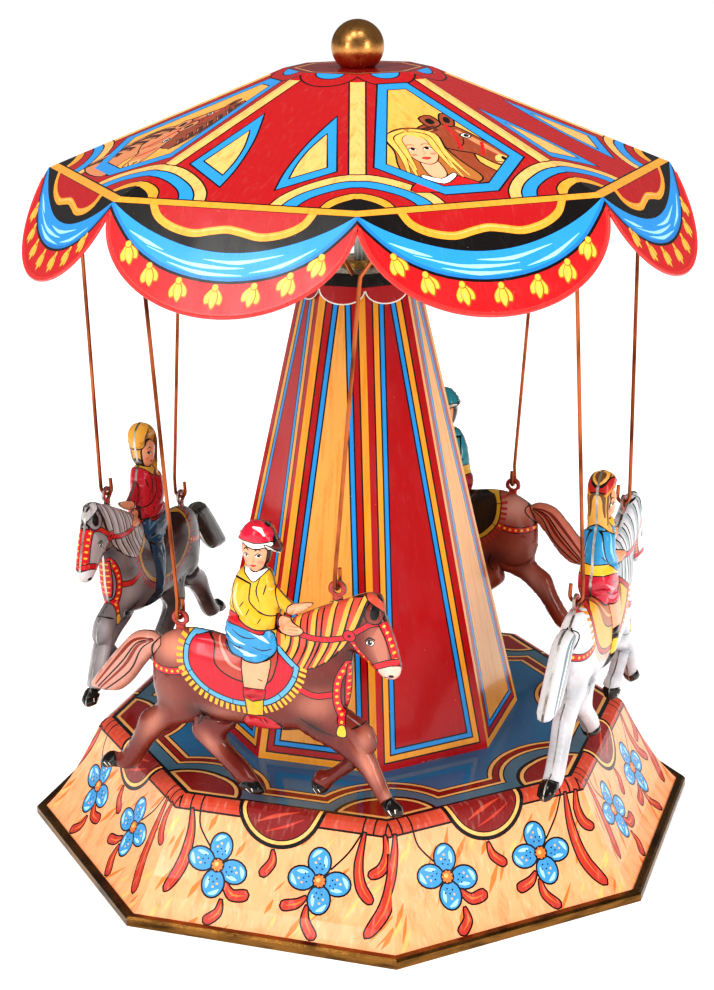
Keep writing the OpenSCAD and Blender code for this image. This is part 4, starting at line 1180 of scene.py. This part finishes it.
def rider_head(art, look):
    """Face, hair and the cap or band."""
    art.inked("hairdo", smooth([(-4.4, 134), (-4.8, 129), (-3.6, 125.8), (0, 124.6), (5, 126.6),
                                (6.4, 131), (6, 134.6)], 3), 0.3)
    art.inked("skin", smooth([(-3.0, 132.6), (-2.9, 127.4), (-1.2, 124.3), (1.4, 123.3), (3.8, 124.9),
                              (5.2, 128.4), (5.3, 132.2), (1.2, 133.8)]), 0.25)
    for s, r in ((-1.7, 0.95), (3.6, 0.85)):
        art.fill("blush", ring_points(s, 126.9, r, 0.75, step=30))
    for s, w in ((-1.0, 1.15), (3.2, 1.0)):
        art.fill("white", smooth([(s - w, 129.0), (s, 129.8), (s + w, 129.1), (s, 128.6)], 3))
        art.fill("black", ring_points(s + 0.15, 129.2, 0.52, step=45))
        art.curve("black", [(s - w, 129.1), (s, 130), (s + w, 129.2)], 0.3)
        art.curve("hairdo_dark", [(s - w, 130.7), (s, 131.5), (s + w, 130.8)], [0.25, 0.45, 0.2])
    art.curve("skin_dark", [(1.4, 129), (1.9, 127.4), (1.2, 127.1)], 0.28)
    art.fill("lips", smooth([(0.2, 125.7), (1.3, 126.1), (2.4, 125.8), (1.3, 125.1)], 3))
    if look["head"] == "cap":
        art.inked("hat", smooth([(-4.3, 133.2), (-4.0, 136.4), (-1, 139.4), (3, 139.9), (6.2, 138.2),
                                 (7.4, 135), (7.3, 133.2), (1.6, 132.6)], 4), 0.35)
        art.curve("white", [(1.2, 138.6), (4, 138), (5.6, 136)], [0.3, 1.2, 0.3], 4)
        art.inked("white", smooth([(-4.2, 133.2), (1.6, 131.6), (7.3, 132.6), (7.2, 134), (1.6, 133),
                                   (-4, 134.2)], 3), 0.3)
        art.inked("collar", smooth([(5.6, 133), (7.6, 132.2), (9.6, 130.2), (8.4, 129.6), (6, 130.8)], 3),
                  0.3)
    else:
        art.inked("hairdo", LOCKS, 0.35)
        for points in ([(1, 139.4), (-3.4, 136.6), (-4.4, 130), (-3.6, 122)],
                       [(0, 140), (-4.6, 137), (-5.2, 131), (-4.6, 125)],
                       [(1.6, 139), (-2.4, 136.4), (-3.6, 131), (-3.2, 121)],
                       [(2, 138.6), (-1.4, 136), (-3, 131), (-3, 124)],
                       [(2.4, 138.4), (4.6, 136), (5.4, 133)]):
            art.curve("hairdo_dark", points, [0.3, 0.75, 0.3], 4)
        if look["head"] == "band":
            art.inked("hat", stroke(smooth([(-5, 134), (-1.4, 137), (2.6, 136.6), (6.4, 133.8)], 4,
                                           False), 2.0), 0.3)
            art.curve("fringe", [(-5, 132.8), (-1.4, 135.7), (2.6, 135.3), (6.4, 132.6)], 0.7, 4)


# The first table holds the coat's painted highlights and the second its painted shade, laid on like the
# litho's airbrushing: centre, size, turn and strength of each soft spot.
COAT_HIGHLIGHTS = (((-29, 93.4), (7.5, 5), 0, 0.85), ((-38.6, 63.5), (2.8, 7.5), -38, 0.55),
          ((-33, 76), (8, 7), 0, 0.2), ((23, 81), (7.5, 5.5), 20, 0.45),
          ((40.4, 61.4), (2.0, 8), 28, 0.7), ((46.6, 50.4), (1.4, 4), 20, 0.6),
          ((-13, 72.8), (9, 2.2), 0, 0.3), ((44.5, 104), (3.5, 7), 12, 0.6), ((28, 111), (9, 3), 26, 0.3),
          ((-17, 60), (2.4, 5), 40, 0.5), ((39, 70.5), (2.4, 5), -10, 0.45),
          ((-52, 53), (1.8, 5), -30, 0.4))
COAT_SHADE = (((-20, 71), (5, 4), 0, 0.85), ((21, 72.6), (7, 2.6), -20, 0.8), ((33.5, 98.6), (4, 3.6), 0, 0.6),
         ((2, 69), (17, 2.2), 0, 0.5), ((-35, 73), (4, 5), 0, 0.35), ((34, 61), (7, 1.8), -45, 0.5),
         ((-45, 57.4), (1.8, 8), -38, 0.35), ((25, 89), (8, 3), 20, 0.35), ((-9, 57), (2, 7), 35, 0.4),
         ((30, 56), (5, 1.8), 45, 0.4))


def puffs(points, spots):
    """Strength at each point of soft oval spots, used to airbrush painted highlights and painted shade
    onto the coat.
    """
    total = np.zeros(len(points))
    for centre, size, angle, strength in spots:
        rel = turned(points - np.array(centre), -angle) / np.array(size)
        total = np.maximum(total, strength * np.exp(-np.sum(rel ** 2, 1)))
    return total


# In each look, light is the colour of the coat's painted highlights and dark the colour of its painted
# shade; dark also fills the paint of the rim between the faces.
LOOKS = {
    "chestnut": {
        "coat": "6a1d13", "light": "dd9179", "dark": "330e07", "mane_a": "c9503a", "mane_b": "e0a445",
        "tail_light": "c98a78", "tail_dark": "7e3022", "muzzle": "efc0ae", "tack": "cf1c2c",
        "dots": "e8b434", "cloth": "bd1428", "border": "5fa4cc", "fringe": "e8ac32", "saddle": "b04034",
        "saddle_light": "dc8a78", "shirt": "e3ac28", "shirt_light": "fbe79a", "shirt_far": "dca326",
        "trim": "c01c26", "collar": "f5f1e6", "trousers": "3690c4", "trousers_light": "c2e4f5",
        "shoe": "b81f2a", "sock": "e3ac28", "hairdo": "3a2a22", "hairdo_dark": "241812",
        "hat": "cf1b38", "legs": "bare", "head": "cap",
    },
    "grey": {
        "coat": "7b7477", "light": "cfc8c8", "dark": "1d1715", "mane_a": "c4bcbd", "mane_b": "a39b9c",
        "tail_light": "524d47", "tail_dark": "38332f", "muzzle": "d8d0d0", "tack": "c91d24",
        "dots": "e8b434", "cloth": "3a130d", "border": "c8962e", "fringe": "b3312a", "saddle": "45170e",
        "saddle_light": "7a3626", "shirt": "c01c30", "shirt_light": "ee7a80", "shirt_far": "a8182a",
        "trim": "a3172a", "collar": "d9a640", "trousers": "1f4f74", "trousers_light": "5c93b4",
        "shoe": "16384f", "sock": "1f4f74", "hairdo": "dc9f3e", "hairdo_dark": "7e4a1c",
        "hat": "c01c30", "legs": "long", "head": "loose",
        # More painted shade on the grey's hindquarters and hind legs.
        "more_coat_shade": (((-30, 82), (17, 20), 0, 0.88), ((-45, 57), (10, 12), 0, 0.7),
                       ((-14, 58), (8, 12), 0, 0.6)),
    },
    "brown": {
        "coat": "86341f", "light": "d6a090", "dark": "3a120a", "mane_a": "c8b4a8", "mane_b": "8b4a38",
        "tail_light": "c9735c", "tail_dark": "7c2c1e", "muzzle": "e2b8a8", "tack": "bf2a24",
        "dots": "e3b93c", "cloth": "221a18", "border": "c79c34", "fringe": "a8372a", "saddle": "2c2220",
        "saddle_light": "5e4a44", "shirt": "2f8c9a", "shirt_light": "9ed4da", "shirt_far": "27788a",
        "trim": "d8a83a", "collar": "efe6cf", "trousers": "a32430", "trousers_light": "e08088",
        "shoe": "2e2320", "sock": "e0b63a", "hairdo": "4a2f1e", "hairdo_dark": "2a1a10",
        "hat": "2f8c9a", "legs": "bare", "head": "cap",
    },
    "white": {
        "coat": "cfcbcf", "light": "f0eeee", "dark": "3c565a", "mane_a": "d6d2d4", "mane_b": "a9b3b6",
        "tail_light": "d6d2d4", "tail_dark": "7b8e92", "muzzle": "eadfdf", "tack": "c4202c",
        "dots": "e8b434", "cloth": "dfa32e", "border": "b3241f", "fringe": "dc8a2a", "saddle": "a85a2a",
        "saddle_light": "dc9a5c", "shirt": "2a8cbb", "shirt_light": "8cc8e4", "shirt_far": "2480ac",
        "trim": "e8b52e", "collar": "e8b52e", "trousers": "c41f38", "trousers_light": "f08c98",
        "shoe": "2a2422", "sock": "ecbf2e", "hairdo": "dba04a", "hairdo_dark": "6d4420",
        "hat": "b3241f", "legs": "bare", "head": "band",
    },
}


def horse_art(look):
    art = Art()
    for loops in [p[0] for p in PARTS] + LEGS[-1] + LEGS[1]:
        art.fill("coat", loops)
    for at in EYES:
        hole = ring_points(at[0], at[1], LUG_HOLE, step=20)
        art.fill("lug", ring_points(at[0], at[1], 3.1, step=20), hole)
        art.fill("lug", [(at[0] - 1.7, at[1] - 2), (at[0] + 1.7, at[1] - 2), (at[0] + 1.7, at[1] - 3.6),
                         (at[0] - 1.7, at[1] - 3.6)])
    horse_coat(art)
    mane(art)
    blanket(art)
    horse_face(art)
    rider(art, look)
    rider_head(art, look)
    return art


def lug_shapes():
    shapes = []
    for s, z in EYES:
        shapes.append(ring_points(s, z, 2.8, step=20))
        shapes.append(np.array([(s - 1.4, z - 1.8), (s + 1.4, z - 1.8), (s + 2, z - 6), (s - 2, z - 6)]))
    return shapes


def horse_height(points, side):
    """How far the printed face stands off the seam."""
    height = np.zeros(len(points))
    for loop, lift, width in PARTS + [(loop, *LEG_LIFT) for loop in LEGS[side]]:
        height = np.maximum(height, swell(points, loop, lift, width))
    for loop, lift, width in RELIEFS:
        height += swell(points, loop, lift, width)
    return height + RIM


def figure_grid(loops):
    """Points all over the figure, so that its skin can bend."""
    across, up = np.arange(-66, 54, GRID_PITCH), np.arange(40, 143, GRID_PITCH)
    grid = np.stack(np.meshgrid(across, up), 2).reshape(-1, 2)
    grid[:, 0] += (np.round(grid[:, 1] / GRID_PITCH) % 2) * GRID_PITCH / 2
    covered = np.zeros(len(grid), bool)
    for loop in loops:
        covered |= inside(grid, [loop])
    return grid[covered]


def only_figure(points, tris, names, loops):
    """Keeps the triangles of the figure and its lugs, and leaves the lugs' holes open."""
    middle = points[tris].mean(1)
    keep = np.zeros(len(tris), bool)
    for loop in loops + lug_shapes():
        keep |= inside(middle, [loop])
    for s, z in EYES:
        keep &= ~inside(middle, [ring_points(s, z, LUG_HOLE, step=20)])
    used, back = np.unique(tris[keep], return_inverse=True)
    return points[used], back.reshape(-1, 3), names[keep]


def border_edges(tris):
    """The edges that only one triangle has, each in that triangle's own direction."""
    edges = dict.fromkeys((t[i], t[(i + 1) % 3]) for t in tris for i in range(3))
    return [e for e in edges if (e[1], e[0]) not in edges]


def rear_bulge(points, side):
    """How far the legs stand out behind, fading to nothing inside the barrel."""
    bulge = np.maximum.reduce([swell(points, loop, *LEG_LIFT) for loop in LEGS[side]])
    fade = np.clip(1 - edge_distance(points, BARREL) / LEG_FADE, 0, 1)
    return bulge * np.where(inside(points, [BARREL]), fade, 1)


def horse_half(horse, look, side, art):
    """One pressed half of a horse and rider: printed front and rear faces, joined by a bare rim."""
    hat = HAT if look["head"] == "cap" else LOCKS
    loops = [loop for loop, _, _ in PARTS + RELIEFS] + LEGS[side] + [hat]
    points, tris, names = only_figure(*cut(CUT_BOX, art, "coat", dots=figure_grid(loops)), loops)
    height = np.maximum(horse_height(points, side), swell(points, hat, *HAT_LIFT) + RIM)
    border = border_edges(tris)
    for edge in border:
        height[list(edge)] = RIM
    bay = math.radians(HORSES[horse] + REST_TURN)
    out = np.array([math.cos(bay), math.sin(bay), 0])
    along = np.array([-out[1], out[0], 0])
    flat_place = along * points[:, :1] + np.array([0, 0, 1]) * points[:, 1:]
    levels = (side * height, -side * rear_bulge(points, side))
    verts = np.concatenate([flat_place + out * (PLANE_R - level)[:, None] for level in levels])
    count = len(points)
    front = tris if side < 0 else tris[:, ::-1]
    rear = tris[:, ::-1] + count if side < 0 else tris + count
    walls = []
    for a, b in border:
        quad = (b, a, a + count, b + count)
        walls.append(quad if side < 0 else quad[::-1])
    faces = [tuple(f) for f in front] + [tuple(f) for f in rear] + walls
    half = f"{horse}_{'outer' if side < 0 else 'inner'}"
    uv = np.concatenate([points, points]) + [300 * (1 + list(HORSES).index(horse)), 90 * side]
    skins = [LITHO_HORSE, SHELL_INSIDE]
    obj = mesh_object(f"{half}_print", verts, faces, skins, f"{horse}_horse", None, uv, True)
    colours = horse_colours(points, tris, names, look, height)
    rim = np.tile(np.array([*rgb(look["dark"]), 0.2]), (len(walls) * 4, 1))
    swapped = colours.reshape(-1, 3, 4)[:, ::-1].reshape(-1, 4)
    near, far = (colours, swapped) if side < 0 else (swapped, colours)
    paint = obj.data.color_attributes.new("paint", "FLOAT_COLOR", "CORNER")
    paint.data.foreach_set("color", np.concatenate([near, far, rim]).astype(np.float32).ravel())
    slots = [0] * (2 * len(tris)) + [1] * len(walls)
    obj.data.polygons.foreach_set("material_index", slots)
    obj.data.polygons.foreach_set("use_smooth", [True] * (2 * len(tris)) + [False] * len(walls))
    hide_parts(f"{half}_half")


# How dark the painted shade on the softer inks gets at the figure's outline.
EDGE_SHADE_LEVEL = 0.72
INK_TONE = 0.86


def horse_colours(points, tris, names, look, height):
    """A colour for each corner: flat inks, with painted highlights and painted shade airbrushed onto the
    coat, and painted shade on the softer inks near the outline.
    """
    base = {}
    for name in set(names):
        if name == "coat_light":
            base[name] = (*(0.45 * np.array(rgb(look["coat"])) + 0.55 * np.array(rgb(look["light"]))),
                          0.3)
        elif name in look and name not in ("legs", "head", "more_coat_shade"):
            base[name] = (*rgb(look[name]), 0.35)
        else:
            base[name] = ink(name)
    flat = np.array([base[n] for n in names])[:, None].repeat(3, axis=1)
    # Painted highlights and painted shade on the coat, blended towards the look's light and dark colours.
    light, dark = puffs(points, COAT_HIGHLIGHTS), puffs(points, COAT_SHADE + look.get("more_coat_shade", ()))
    coat_with_painted_light = np.isin(names, ["coat"])
    for ends, amount in ((look["light"], light), (look["dark"], dark)):
        share = (amount[tris] * coat_with_painted_light[:, None])[..., None]
        flat[..., :3] = flat[..., :3] * (1 - share) + np.array(rgb(ends)) * share
    # Painted shade: the softer inks darken towards the outline, where the pressed relief turns away
    # towards the seam.
    edge = np.clip((height - RIM) / 2.2, 0, 1)
    soft = np.isin(names, ["coat", "cloth", "shirt", "trousers", "hat", "saddle", "tail_light", "mane_a"])
    shade_factor = EDGE_SHADE_LEVEL + (1 - EDGE_SHADE_LEVEL) * edge[tris]
    flat[..., :3] *= np.where(soft[:, None], shade_factor, 1)[..., None]
    flat[..., :3] *= INK_TONE
    return flat.reshape(-1, 4)


LITHO_HORSE = litho("litho_horse", 0.2, 0.0001, streaks=0.04)
SHELL_INSIDE = metal("seam_tin", "c2bdb4", "75695c", 0.3, 90.0)


def horses():
    """Each horse has one drawing, printed on both of its halves."""
    for horse in HORSES:
        look = LOOKS[horse]
        art = horse_art(look)
        for side in (-1, 1):
            horse_half(horse, look, side, art)


horses()


# ---- floor, light and camera ----


def plain(name, colour, roughness):
    m = Nodes(name)
    here = m.new("ShaderNodeTexCoord").outputs["Object"]
    return m.set(Base_Color=m.mix(m.noise(here, 4.0), colour, tuple(c * 0.985 for c in colour)),
                 Roughness=roughness)


def stage():
    """A pale floor that reaches to the horizon."""
    reach = 12.0
    mesh = bpy.data.meshes.new("floor")
    mesh.from_pydata([(x * reach, y * reach, -0.00002) for x, y in ((-1, -1), (1, -1), (1, 1), (-1, 1))],
                     [], [(0, 1, 2, 3)])
    mesh.materials.append(plain("floor_white", (0.95, 0.95, 0.95), 0.8))
    floor = bpy.data.objects.new("floor", mesh)
    bpy.context.scene.collection.objects.link(floor)


def direction(azimuth, elevation):
    """A unit vector from the toy outwards, from angles in degrees."""
    a, e = math.radians(azimuth), math.radians(elevation)
    return Vector((math.cos(e) * math.cos(a), math.cos(e) * math.sin(a), math.sin(e)))


def softbox(name, azimuth, elevation, distance, size, power, glossy=False):
    """A rectangular lamp aimed at the toy. Only some are bright enough to be meant as highlights."""
    middle = Vector((0, 0, 0.14))
    data = bpy.data.lights.new(name, "AREA")
    data.shape = "RECTANGLE"
    data.size, data.size_y = size
    data.energy = power
    lamp = bpy.data.objects.new(name, data)
    lamp.location = middle + distance * direction(azimuth, elevation)
    lamp.rotation_euler = (middle - lamp.location).to_track_quat("-Z", "Y").to_euler()
    lamp.visible_glossy = glossy
    bpy.context.scene.collection.objects.link(lamp)


def studio_world():
    """Bright all round, but darker where the varnish mirrors it, as black flags beside the camera do."""
    world = bpy.data.worlds.new("studio")
    world.use_nodes = True
    tree = world.node_tree
    back = tree.nodes["Background"]
    back.inputs["Color"].default_value = (1.0, 1.0, 1.0, 1)
    rays = tree.nodes.new("ShaderNodeLightPath")
    level = tree.nodes.new("ShaderNodeMapRange")
    level.inputs["To Min"].default_value = 0.97
    level.inputs["To Max"].default_value = 0.16
    tree.links.new(rays.outputs["Is Glossy Ray"], level.inputs["Value"])
    tree.links.new(level.outputs["Result"], back.inputs["Strength"])
    bpy.context.scene.world = world


def light():
    studio_world()
    softbox("key_left", 225, 32, 1.25, (0.5, 0.6), 4.8)
    softbox("key_right", 320, 28, 1.2, (0.4, 0.6), 3)
    softbox("top", 265, 82, 1.1, (0.8, 0.8), 1.5)
    softbox("ball_glint_left", 240, 58, 1.1, (0.16, 0.16), 1.2, True)
    softbox("ball_glint_right", 288, 60, 1.1, (0.14, 0.14), 1.0, True)
    softbox("back", 80, 35, 1.3, (0.7, 0.5), 3)
    softbox("skirt_glint", 219, 41, 1.1, (0.3, 0.14), 1.0, True)
    softbox("tower_glint_right", 308, 12, 1.2, (0.16, 0.5), 2.4, True)
    softbox("tower_glint_left", 221, 12, 1.2, (0.1, 0.5), 1.6, True)


def camera():
    """The photograph's viewing angle, with a long lens and a slight roll."""
    target, back = Vector((0, 0, 0.12139)), direction(265.53, 17.69)
    data = bpy.data.cameras.new("photo_view")
    data.sensor_width = 36
    data.lens = 72.105
    data.clip_start = 0.01
    cam = bpy.data.objects.new("photo_view", data)
    cam.location = target + 0.7201 * back
    aim_left = math.radians(0.152)
    look = (-back).normalized()
    look = Matrix.Rotation(aim_left, 3, "Z") @ look
    facing = look.to_track_quat("-Z", "Y").to_matrix()
    roll = Matrix.Rotation(math.radians(0.6), 3, look)
    cam.rotation_euler = (roll @ facing).to_euler()
    bpy.context.scene.collection.objects.link(cam)
    bpy.context.scene.camera = cam


stage()
light()
camera()
bpy.context.scene.view_settings.view_transform = "Standard"
bpy.context.scene.view_settings.look = "Medium High Contrast"
